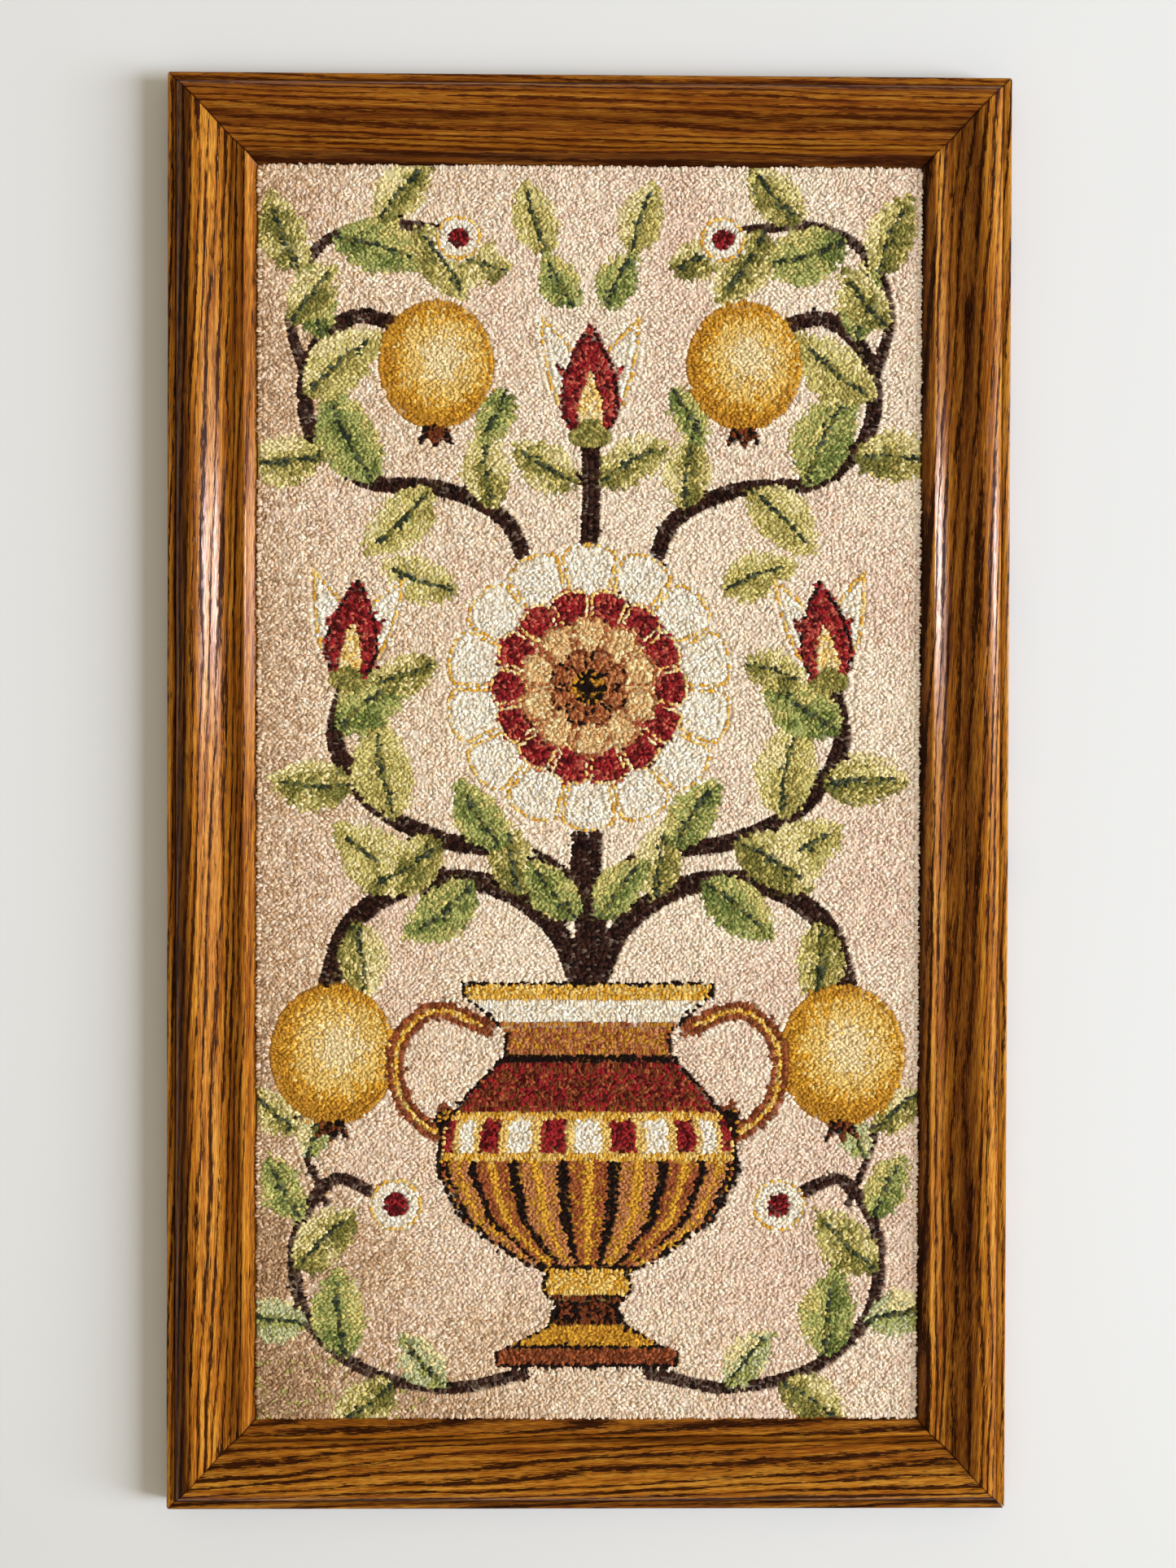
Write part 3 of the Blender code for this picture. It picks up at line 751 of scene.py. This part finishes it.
sprays = {
    # leaves on a stem: length, lean from its run, kinds in turn and shares of its run
    "lower": (68, 48, (0, 1, 2, 0), (0.30, 0.44, 0.60, 0.80)),
    "middle": (70, 50, (1, 0, 2, 0), (0.26, 0.42, 0.56, 0.70, 0.86)),
    "upper": (70, 52, (0, 2, 1), (0.16, 0.30, 0.42, 0.54, 0.67, 0.80)),
    "corner": (64, 46, (0, 0, 1), (0.22, 0.42, 0.60, 0.78, 0.92)),
    "foot": (62, 50, (3, 0, 1), (0.18, 0.30, 0.42, 0.54, 0.66, 0.78)),
    "shoot": (50, 40, (3, 0), (0.5, 0.8)),
}
loneLeaves = (
    # place, angle, length, kind: by the trunk, round the great flower and at the top
    ((7, -92), 52, 58, 1), ((6, 226), 30, 60, 0), ((30, 392), 72, 58, 2), ((58, 380), 20, 54, 0),
    ((10, 352), 62, 50, 1), ((96, 148), 20, 60, 2), ((112, 96), -18, 52, 0), ((60, 296), -62, 48, 1),
)
paths = {name: smoothPath(points) for name, (yarn, width, points) in stems.items()}


def drawStems(side):
    for name, (yarn, width, points) in stems.items():
        if side > 0 or name not in ("trunk", "crown"):
            paintStroke(paths[name] * (side, 1), width, yarn, echo=True)


def drawLeaves(side):
    for name, (length, lean, kinds, starts) in sprays.items():
        path = paths[name]
        run = np.gradient(path, axis=0)
        for index, share in enumerate(starts):
            at = int(share * (len(path) - 1))
            heading = math.degrees(math.atan2(run[at, 1], run[at, 0])) + (-lean if index % 2 else lean)
            size = length * (0.88 + 0.24 * ((index * 7) % 5) / 4)
            mirroredLeaf(path[at], heading, size, kinds[index % len(kinds)], side)


def drawLoneLeaves(side):
    for leaf in loneLeaves:
        mirroredLeaf(*leaf, side)


for draw in (drawStems, drawLeaves, drawLoneLeaves):
    draw(1)
    draw(-1)
print("stems and leaves planned")


# Round gold fruit, tulips and small round flowers
fruit = {"yarns": ("butter", "goldLight", "gold", "goldDeep"), "limits": (0.38, 0.74, 0.90), "stray": 0.16,
         "light": (0.12, 0.1), "tall": 1.12, "ragged": 0.9,
         "crown": [(-9, 0), (-12, -14), (-5, -8), (0, -16), (5, -8), (12, -14), (9, 0)]}


def paintFruit(place, radius):
    def shaded(points):
        # gold that goes from a deep rim to a pale middle
        right, up = fruit["light"]
        far = np.hypot(*(points - place - (right * radius, up * radius)).T) / radius
        far = far + random.uniform(-fruit["stray"], fruit["stray"], len(points))
        return numbersOf(*fruit["yarns"])[np.searchsorted(fruit["limits"], far)]

    paintPatch(disc(place, radius, fruit["tall"]), shaded, ragged=fruit["ragged"])
    paintPatch(np.array(fruit["crown"]) + (place[0], place[1] - radius * 1.06), ("ink", "brown"))


def paintTulip(place, angle, size):
    # three petals on one axis, in shares of its size: the outer two white with crimson flames, the middle one
    # crimson with a gold heart, all on a green cup
    s = np.linspace(0, 1, 18)

    def petal(width, length, bend, yarn, rows=1, edge=None, back=0.0):
        half = width * size * np.sin(math.pi * s ** 0.7) ** 0.8
        bow = bend * s ** 1.5
        shape = np.vstack([np.stack([s * (size * length), bow - half], 1),
                           np.stack([s * (size * length), bow + half], 1)[::-1][1:-1]])
        paintPatch(turned(shape - (back * size, 0), place, angle), yarn, rows, edge)

    for side in (1, -1):
        petal(0.21, 1, side * 0.40 * size, ("white", "ivory", "white"), 2, ("goldLight", "gold"))
        petal(0.07, 0.62, side * 0.26 * size, ("crimson", "rosewood", "maroon"))
    petal(0.24, 0.94, 0, ("crimson", "crimson", "rosewood", "maroon"), 2, ("maroon", "ink"))
    petal(0.10, 0.55, 0, ("goldLight", "butter"))
    petal(0.17, 0.24, 0, ("leafDark", "leafMid"), back=0.05)


def paintButton(place, radius):
    paintPatch(disc(place, radius), ("white", "ivory"), edge=("goldLight", "gold"))
    paintPatch(disc(place, radius * 0.45), ("crimson", "maroon"))


for place, radius in (((186, -190), 46), ((112, 312), 42)):
    for side in (1, -1):
        paintFruit((side * place[0], place[1]), radius)
for side in (1, -1):
    paintTulip(np.array([side * 176.0, 78.0]), 90 + side * 6, 84)
paintTulip(np.array([0.0, 256.0]), 90, 92)
for place, radius in (((140, -300), 20), ((96, 404), 17)):
    for side in (1, -1):
        paintButton((side * place[0], place[1]), radius)
print("fruit and tulips planned")


# The great round flower: rings of petals about the middle, white outside, then crimson, then gold scales
great = {
    "place": (0.0, 78.0), "heart": 13,
    # petals, inner and outer radius, roundness, turn in petals, yarns, yarns of the edge
    "rings": ((14, 66, 106, 10, 0.0, ("white", "ivory", "white"), ("goldLight", "gold")),
              (14, 44, 73, 6, 0.5, ("crimson", "rosewood", "maroon", "crimson"), ("goldLight", "butter")),
              (10, 22, 52, 9, 0.0, ("honey", "butter", "honey"), ("rust", "copper")),
              (8, 8, 30, 6, 0.5, ("copper", "rust"), ("brown", "ink"))),
}
for petals, inner, outer, roundness, start, yarn, edge in great["rings"]:
    # a petal between two rays: its sides are straight and its end is a round lobe
    t = np.linspace(-1, 1, 15)
    lobe = outer - roundness * (1 - np.sqrt(np.clip(1 - t ** 2, 0, 1)))
    step = 2 * math.pi / petals
    for number in range(petals):
        angle = math.pi / 2 + (number + start) * step + t * (step / 2)
        rim = np.stack([lobe * np.cos(angle), lobe * np.sin(angle)], 1)
        root = np.stack([inner * np.cos(angle[::-1]), inner * np.sin(angle[::-1])], 1)
        paintPatch(np.vstack([rim, root]) + great["place"], yarn, 2, edge)
paintPatch(disc(great["place"], great["heart"]), ("ink", "goldDeep", "ink"))
print("great flower planned")


# The urn: half its width at each height, with bands of colour, and two scrolled handles
urn = {
    "stations": ((-418, 66), (-408, 68), (-400, 50), (-390, 30), (-374, 22), (-362, 34), (-350, 30),
                 (-338, 54), (-312, 92), (-276, 110), (-244, 108), (-214, 84), (-192, 62), (-174, 60),
                 (-156, 80), (-146, 92), (-138, 92)),
    "handle": [(74, -170), (112, -158), (138, -182), (136, -222), (112, -246), (104, -232)],
    "lobes": 9, "checks": 13, "line": 3.4, "lined": (-418, -404, -346, -138),
}


def urnHalf(height):
    return np.interp(height, *np.array(urn["stations"], float).T)


def roundUrn(points, count):
    # the belly as it turns away to its sides: which of so many upright strips, its share across, and if it
    # is odd
    share = (np.arcsin(np.clip(points[:, 0] / urnHalf(points[:, 1]), -1, 1)) / math.pi + 0.5) * count
    strip = np.floor(share)
    return share - strip, np.abs(strip - (count - 1) / 2) % 2 == 0


def lobedYarn(points):
    # upright lobes that narrow with the urn: rust, gold and copper in turn between dark lines
    part, even = roundUrn(points, urn["lobes"])
    number = np.where(even, yarnNumber["rust"], yarnNumber["copper"])
    number = np.where(random.random(len(points)) < 0.22, yarnNumber["goldDeep"], number)
    number = np.where((part > 0.42) & (part < 0.62), yarnNumber["gold"], number)
    return np.where((part < 0.13) | (part > 0.90), yarnNumber["ink"], number)


def checkedYarn(points):
    # white blocks and crimson ones in turn round the belly, with gold lines between them
    part, even = roundUrn(points, urn["checks"])
    mixed = random.random(len(points)) < 0.3
    red = np.where(mixed, yarnNumber["maroon"], yarnNumber["crimson"])
    pale = np.where(mixed, yarnNumber["ivory"], yarnNumber["white"])
    return np.where((part < 0.16) | (part > 0.86), yarnNumber["goldLight"], np.where(even, pale, red))


for side in (1, -1):
    path = smoothPath(np.array(urn["handle"]) * (side, 1))
    paintStroke(path, 13.0, ("brown", "rust"))
    paintStroke(path[4:-4], urn["line"], ("gold", "goldLight"))
    paintPatch(disc((side * 103, -238), 8), ("goldDeep", "ink"))
urnParts = (
    (-418, -404, ("brown", "rust"), 1), (-404, -388, ("gold", "goldDeep"), 1),
    (-388, -366, ("brown", "ink"), 1), (-366, -346, ("goldLight", "gold"), 1), (-346, -268, lobedYarn, 0),
    (-268, -262, ("goldLight", "gold"), 1),
    (-262, -238, checkedYarn, 0), (-238, -232, ("goldLight", "gold"), 1),
    (-232, -196, ("crimson", "brown", "maroon", "rust", "brown", "crimson"), 2), (-196, -190, ("ink",), 1),
    (-190, -166, ("rust", "copper", "goldDeep"), 2), (-166, -150, ("white", "ivory"), 1),
    (-150, -138, ("gold", "goldLight"), 1),
)
for low, high, yarn, rows in urnParts:
    height = np.linspace(low, high, max(int((high - low) / 3), 2))
    half = urnHalf(height)
    paintPatch(np.vstack([np.stack([half, height], 1), np.stack([-half, height], 1)[::-1]]), yarn, rows)
height = np.linspace(-418, -138, 160)
for side in (1, -1):
    paintStroke(np.stack([side * (urnHalf(height) - 1.0), height], 1), urn["line"], ("ink", "barkDark"))
for level in urn["lined"]:
    half = urnHalf(level) - 1
    path = np.stack([np.linspace(-half, half, 120), np.full(120, float(level))], 1)
    paintStroke(path, urn["line"], ("ink",))
print("urn planned")


# Laying the loops: rows round each motif first, from the top motif down, then the ground and the filling
laid = []


def spotFree(points, angle, long):
    # true where neither a loop's middle nor its two ends fall on a loop that is there already
    free = np.ones(len(points), bool)
    heading = np.stack([np.cos(angle), np.sin(angle)], 1)
    for share in (-0.62, 0.0, 0.62):
        free &= ~taken[cellOf(points + heading * (share * long)[:, None])]
    return free


def layLoops(points, angle, long, yarnPicked):
    # puts loops down and marks the cells that they cover
    c, s = np.cos(angle), np.sin(angle)
    for along in np.linspace(-0.78, 0.78, 9):
        for beside in (-0.5, 0.0, 0.5):
            shift = np.stack([along * long * c - beside * s, along * long * s + beside * c], 1)
            taken[cellOf(points + shift)] = True
    laid.append((points, angle, long, yarnPicked))


def inOpening(points, margin):
    return (np.abs(points) < rugHalf - margin).all(1)


def layRow(line, number, yarn, thin=False):
    # one row of loops along a line, each loop lying across it, or along it where the line is a thin one
    path = evenSteps(line, 1.2 * rug["halfLong"] if thin else rug["loopPitch"])
    if len(path) < 2:
        return
    run = np.gradient(path, axis=0)
    angle = np.arctan2(run[:, 1], run[:, 0]) + (0 if thin else math.pi / 2)
    angle = angle + random.normal(0, 0.6 if thin else 0.36, len(path))
    path = path + random.normal(0, 0.30, path.shape)
    long = rug["halfLong"] * random.uniform(0.86, 1.08, len(path))
    keep = inOpening(path, 0.6) & (owner[cellOf(path)] == number)
    path, angle, long = path[keep], angle[keep], long[keep]
    for turn in (0, 1):  # every other loop first, so that the second lot sees where the first lies
        part = slice(turn, None, 2)
        free = spotFree(path[part], angle[part], long[part] * (0.7 if turn else 1.0))
        chosen = path[part][free]
        if len(chosen):
            layLoops(chosen, angle[part][free], long[part][free], yarn(chosen))


for number in range(len(motifs) - 1, 0, -1):
    motif = motifs[number]
    for index, line in enumerate(motif["rows"]):
        edge = motif["edge"] if index == 0 else None
        layRow(line, number, edge or motif["yarn"], motif["thin"] or edge is not None)
rimHalf = rugHalf - (rug["rowPitch"] / 2 - 0.4)
rimPath = evenSteps(rimHalf * [(-1, -1), (1, -1), (1, 1), (-1, 1), (-1, -1)], 1.0)
layRow(rimPath + random.normal(0, 0.5, rimPath.shape), 0, groundYarn)
for motif in motifs[:0:-1]:
    if motif["around"] is not None:
        layRow(motif["around"], 0, groundYarn)
print("rows laid", sum(len(row[0]) for row in laid))


def fillingPass(upright, shift, tight):
    # a jittered grid of loops, laid upright or level as the patch of rug runs, wherever there is room; the
    # last passes fit smaller loops in between
    late = tight < 1
    wide, high = (rug["loopPitch"], rug["rowPitch"]) if upright else (rug["rowPitch"], rug["loopPitch"])
    u, v = np.meshgrid(np.arange(-rug["wide"] / 2 + shift * wide, rug["wide"] / 2, wide * 1.02),
                       np.arange(-rug["high"] / 2 + shift * high, rug["high"] / 2, high * 1.02))
    if upright:
        v = v + (np.arange(u.shape[1]) % 2)[None] * high / 2
    else:
        u = u + (np.arange(u.shape[0]) % 2)[:, None] * wide / 2
    points = np.stack([u.ravel(), v.ravel()], 1) + random.normal(0, 0.40, (u.size, 2))
    runs = softNoise(points, 38.0, 21) > 0.5
    points = points[inOpening(points, 1.3) & ((runs == upright) | late)]
    angle = (math.pi / 2 if upright else 0.0) + random.normal(0, 0.8, len(points))
    long = rug["halfLong"] * random.uniform(0.84, 1.06, len(points)) * (0.8 if late else 1.0)
    free = spotFree(points, angle, long * tight)
    points, angle, long = points[free], angle[free], long[free]
    ragged = np.array([motif["ragged"] for motif in motifs])[owner[cellOf(points)]]
    strayed = points + random.normal(0, 1, points.shape) * ragged[:, None]
    layLoops(points, angle, long, yarnAt(points, owner[cellOf(strayed)]))


for upright, shift, tight in ((True, 0.0, 1.0), (False, 0.0, 1.0), (True, 0.5, 0.7), (False, 0.5, 0.7)):
    fillingPass(upright, shift, tight)
loops = dict(zip(("place", "angle", "long", "yarn"), map(np.concatenate, zip(*laid))))
print("loops laid", len(loops["place"]))


# Wool rug yarn, hooked in loops: matt and fuzzy, each loop a soft lump whose sides are painted darker as
# shade, and its plies and stray fibres break the light up into small uneven strokes
wool = {"fuzz": 0.55, "fleck": 1.3, "plyDepth": 0.35, "fuzzDepth": 0.35,  # millimetres
        "shade": {"From Min": 0.7, "From Max": 1.3, "To Min": 0.82, "To Max": 1.15},
        "plies": {"Scale": 0.34, "Distortion": 1.4, "Detail": 1.0, "Detail Scale": 1.0}}


def woolMaterial():
    yarn, shader = newMaterial("wool_rug_yarn", {
        "Roughness": 0.70, "IOR": 1.45, "Specular IOR Level": 0.08, "Sheen Weight": 0.10,
        "Sheen Roughness": 0.5})
    links = yarn.node_tree.links
    colour = addNode(yarn, "Attribute", out="Color", attribute_name="loopColour")
    place = addNode(yarn, "TexCoord", out="Object")
    fuzz = addNode(yarn, "TexNoise", {"Vector": place, "Scale": 1 / (wool["fuzz"] * mm), "Detail": 1.0})
    fleck = addNode(yarn, "TexNoise", {"Vector": place, "Scale": 1 / (wool["fleck"] * mm)})
    both = addNode(yarn, "Math", {0: fuzz, 1: fleck}, operation="ADD")
    shade = addNode(yarn, "MapRange", {"Value": both, **wool["shade"]})
    tinted = addNode(yarn, "VectorMath", {0: colour, "Scale": shade}, operation="SCALE")
    links.new(tinted, shader.inputs["Base Color"])
    local = addNode(yarn, "Attribute", out="Vector", attribute_name="ply")  # mm in the loop itself
    plies = addNode(yarn, "TexWave", {"Vector": local, **wool["plies"]}, 1, bands_direction="Y")
    twist = addNode(yarn, "Bump", {"Height": plies, "Strength": 0.6, "Distance": wool["plyDepth"] * mm})
    bump = addNode(yarn, "Bump", {"Height": fuzz, "Strength": 0.8, "Distance": wool["fuzzDepth"] * mm,
                                  "Normal": twist})
    links.new(bump, shader.inputs["Normal"])
    return yarn


bean = {
    # share of half length, share of half width, depth below the tips in millimetres, brightness as painted
    # light:
    # low parts are painted darker as shade, most so in dark wool, and, by the powers of warmth for red, green
    # and blue, browner; the middle top is a little lighter as a painted highlight
    "shadeWarmth": np.array([0.6, 1.0, 1.5]),
    "points": np.array([(-1.0, 0, 1.6, 0.70), (-0.62, -1, 1.1, 0.70), (-0.62, 0, 0.25, 1.0),
                        (-0.62, 1, 1.1, 0.70), (0, -1, 0.95, 0.79), (0, 0, 0.0, 1.04), (0, 1, 0.95, 0.79),
                        (0.62, -1, 1.1, 0.70), (0.62, 0, 0.25, 1.0), (0.62, 1, 1.1, 0.70),
                        (1.0, 0, 1.6, 0.70)]),
    "triangles": np.array([(0, 1, 2), (0, 2, 3), (7, 10, 8), (8, 10, 9)]),
    "squares": np.array([(1, 4, 5, 2), (2, 5, 6, 3), (4, 7, 8, 5), (5, 8, 9, 6)]),
    "bend": 0.85, "tilt": 0.36, "dip": 0.36, "level": 0.42, "ragged": 0.15, "edgeDrop": 0.4, "strips": 5,
    # low points painted darker as shade in the hollows between loops, and how much darker
    "hollowShare": 0.30, "hollow": 0.42,  # low points that are dark hollows, and how dark they are
    "dyeStray": 0.07, "dyePatch": (0.06, 9.0, 31), "warmStray": 0.025,
}


def strayedColour(yarn, points):
    # each loop's own dye: the yarn's colour, a little lighter or darker by loop and by patch
    light = 1 + random.normal(0, bean["dyeStray"], len(yarn)) + mottled(points, *bean["dyePatch"])
    warm = random.normal(0, bean["warmStray"], len(yarn))
    return np.clip(yarnTable[yarn] * light[:, None] * (1 + warm[:, None] * np.array([1.0, 0.2, -1.0])), 0, 1)


def woolMesh(name, points, faces, colour, x, y):
    # a mesh whose points carry their colour, and their place in the loop along and across its yarn
    mesh = meshFromArrays(name, points, faces)
    colour = colour.reshape(-1, 3)
    pointAttribute(mesh, "loopColour", "FLOAT_COLOR", np.column_stack([colour, np.ones(len(colour))]))
    pointAttribute(mesh, "ply", "FLOAT_VECTOR", np.stack([x, y, x * 0], -1))
    return mesh


def squareMap(mesh, count, along, beside):
    # every loop has a square of its own on the map, so that no two share a place on it
    wide, cell = math.ceil(math.sqrt(count)), np.arange(count)[:, None]
    uv = np.stack([cell % wide + 0.5 + 0.42 * along, cell // wide + 0.5 + 0.42 * beside], 2)
    corners = np.empty(len(mesh.loops), np.int32)
    mesh.loops.foreach_get("vertex_index", corners)
    cornerMap(mesh, (uv.reshape(-1, 2) / wide)[corners])


def setDown(place, angle, x, y):
    # where points given along and across a loop come on the rug
    c, s = np.cos(angle)[:, None], np.sin(angle)[:, None]
    return place[:, :1] + x * c - y * s, place[:, 1:] + x * s + y * c


def loopsMesh(name, chosen):
    # one bean for each loop: its template turned, sized, bent and tilted, then set at its place on the rug
    place, angle = loops["place"][chosen], loops["angle"][chosen]
    count = len(place)
    share, side, depth, bright = bean["points"].T
    wide = rug["halfWide"] * random.uniform(0.90, 1.12, count)[:, None]
    bend = bean["bend"] * random.normal(0, 1, count)[:, None]
    x = share * loops["long"][chosen][:, None]
    y = side * wide + bend * (1 - share ** 2) - bend / 2
    fromEdge = (rugHalf - np.abs(place)).min(1)
    drop = bean["edgeDrop"] * np.clip(1 - fromEdge / 4.0, 0, 1) ** 2
    drop = drop + np.abs(random.normal(0, bean["level"], count))
    lean = bean["tilt"] * random.normal(0, 1, count)[:, None]
    dip = bean["dip"] * random.normal(0, 1, count)[:, None]
    rise = rug["tipRise"] - depth - drop[:, None] - np.abs(lean) * 0.4 + lean * side * 0.5
    rise = rise - np.abs(dip) + dip * share
    u, v = setDown(place, angle, x, y)
    u, v, rise = (values + bean["ragged"] * random.normal(0, 1, x.shape) for values in (u, v, rise))
    first = (np.arange(count) * len(share))[:, None, None]
    faces = [(first + bean["triangles"]).reshape(-1, 3), (first + bean["squares"]).reshape(-1, 4)]
    colour = strayedColour(loops["yarn"][chosen], place)[:, None]
    # painted shade: low points darkened, some further as hollows, browner and most in dark wool; tops a touch
    # lighter
    hollow = (random.random((count, len(bright))) < bean["hollowShare"]) & (bright < 0.9)
    bright = bright * np.where(hollow, bean["hollow"], 1.0)
    colour = colour * bright[:, :, None] ** (bean["shadeWarmth"] * (1.5 - colour.mean(2, keepdims=True)))
    colour = colour * random.uniform(0.95, 1.05, (count, len(share), 1))
    mesh = woolMesh(name, wallPoints(rugMiddle, u, v, rise), faces, colour,
                    x + angle[:, None] * 3, side * wide + 0.25 * x)
    squareMap(mesh, count, share, side)
    return mesh


woolStuff = woolMaterial()
order = np.lexsort((loops["place"][:, 0].round(), loops["place"][:, 1].round(0)))
loops = {key: values[order] for key, values in loops.items()}
strip = ((loops["place"][:, 0] / rug["wide"] + 0.5) * bean["strips"]).astype(int)
strip = np.clip(strip, 0, bean["strips"] - 1)
for number in range(bean["strips"]):
    name = f"pile_{number + 1}"
    addPiece(name, loopsMesh(name, strip == number), woolStuff)
print("pile made")


# Under the loops' backs lies the mass of their legs, a lumpy bed; behind the cloth each loop shows as a flat
# stitch
slabs = {
    "bedPitch": 6.0, "bedRise": 11.4, "bedLump": 0.25, "bedShade": 0.80, "margin": 0.55, "bedSunk": 0.3,
    "stitchLong": 1.75, "stitchWide": 1.25, "stitchGap": 0.15, "stitchLump": 0.35, "stitchShade": 0.90,
}


def bedMesh():
    # a closed slab: its front is a grid at the bed's level plus lumps of noise, its rim a wall, its back one
    # flat face
    wide, high = rug["wide"] - 2 * slabs["margin"], rug["high"] - 2 * slabs["margin"]
    u, v, quads, rim = flatGrid(wide, high, *(int(side / slabs["bedPitch"]) + 1 for side in (wide, high)))
    backRim = u.size + np.arange(len(rim))
    flat = np.stack([u, v], 1)
    plan = np.vstack([flat, flat[rim]])
    rise = np.concatenate([slabs["bedRise"] + slabs["bedLump"] * random.normal(0, 1, u.size),
                           np.full(len(rim), rug["backRise"] + rug["clothThick"] - slabs["bedSunk"])])
    walls = np.stack([rim, backRim, np.roll(backRim, -1), np.roll(rim, -1)], 1)
    colour = yarnTable[yarnAt(plan, owner[cellOf(plan)])] * slabs["bedShade"]
    return woolMesh("pile_bed", wallPoints(rugMiddle, *plan.T, rise), [quads, walls, backRim[::-1][None]],
                    colour, *plan.T)


def stitchesMesh():
    # a four-sided patch behind each loop, lying along the row, with its face to the wall
    place, angle = loops["place"], loops["angle"] + math.pi / 2
    along, beside = np.array([(-1, -1), (-1, 1), (1, 1), (1, -1)]).T
    count = len(place)
    x = along * slabs["stitchLong"] * random.uniform(0.85, 1.15, count)[:, None]
    y = beside * slabs["stitchWide"] * random.uniform(0.85, 1.15, count)[:, None]
    rise = rug["backRise"] - slabs["stitchGap"] - slabs["stitchLump"] * random.random((count, 4))
    points = wallPoints(rugMiddle, *setDown(place, angle, x, y), rise)
    colour = np.repeat(strayedColour(loops["yarn"], place) * slabs["stitchShade"], 4, axis=0)
    mesh = woolMesh("back_stitches", points, [np.arange(4 * count).reshape(-1, 4)], colour,
                    x + angle[:, None] * 3, y)
    squareMap(mesh, count, along, beside)
    return mesh


bed = addPiece("pile_bed", bedMesh(), woolStuff)
stitches = addPiece("back_stitches", stitchesMesh(), woolStuff)


# Foundation: a plain woven cotton cloth, stretched flat in the rabbet
cloth = {"threadPitch": 2.0, "colour": "#D9CBB0", "shadow": "#A5967A", "steps": (32, 59), "bump": 0.3}


def clothMaterial():
    cotton, shader = newMaterial("woven_cotton_foundation", {"Roughness": 0.9, "Sheen Weight": 0.15})
    links = cotton.node_tree.links
    place = addNode(cotton, "TexCoord", out="Object")
    apart = addNode(cotton, "SeparateXYZ", {0: place}).node
    waves = {}
    for number, axis in enumerate("XZ"):
        turn = addNode(cotton, "Math", {0: apart.outputs[axis], 1: math.pi / (cloth["threadPitch"] * mm)},
                       operation="MULTIPLY")
        waves[number] = addNode(cotton, "Math", {0: turn}, operation="SINE")
    weave = addNode(cotton, "Math", waves, operation="MULTIPLY")
    ramp = fillRamp(addNode(cotton, "ValToRGB", {"Fac": weave}),
                    ((0.0, cloth["shadow"]), (0.45, cloth["colour"])))
    links.new(ramp, shader.inputs["Base Color"])
    bump = addNode(cotton, "Bump", {"Strength": 0.6, "Distance": cloth["bump"] * mm, "Height": weave})
    links.new(bump, shader.inputs["Normal"])
    return cotton


clothWide, clothHigh = (rugHigh[0] - rugLow[0]) / mm, (rugHigh[2] - rugLow[2]) / mm


def clothMesh():
    # two flat grids back to back, joined round the rim
    u, v, quads, rim = flatGrid(clothWide, clothHigh, *cloth["steps"])
    layers = [wallPoints(rugMiddle, u, v, rise)
              for rise in (rug["backRise"] + rug["clothThick"], rug["backRise"])]
    rimNext = np.roll(rim, -1)
    walls = np.stack([rim, rim + u.size, rimNext + u.size, rimNext], 1)
    return meshFromArrays("foundation_cloth", np.vstack(layers), [quads, quads[:, ::-1] + u.size, walls])


foundation = addPiece("foundation_cloth", clothMesh(), clothMaterial())
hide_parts("rug")
print("foundation made")
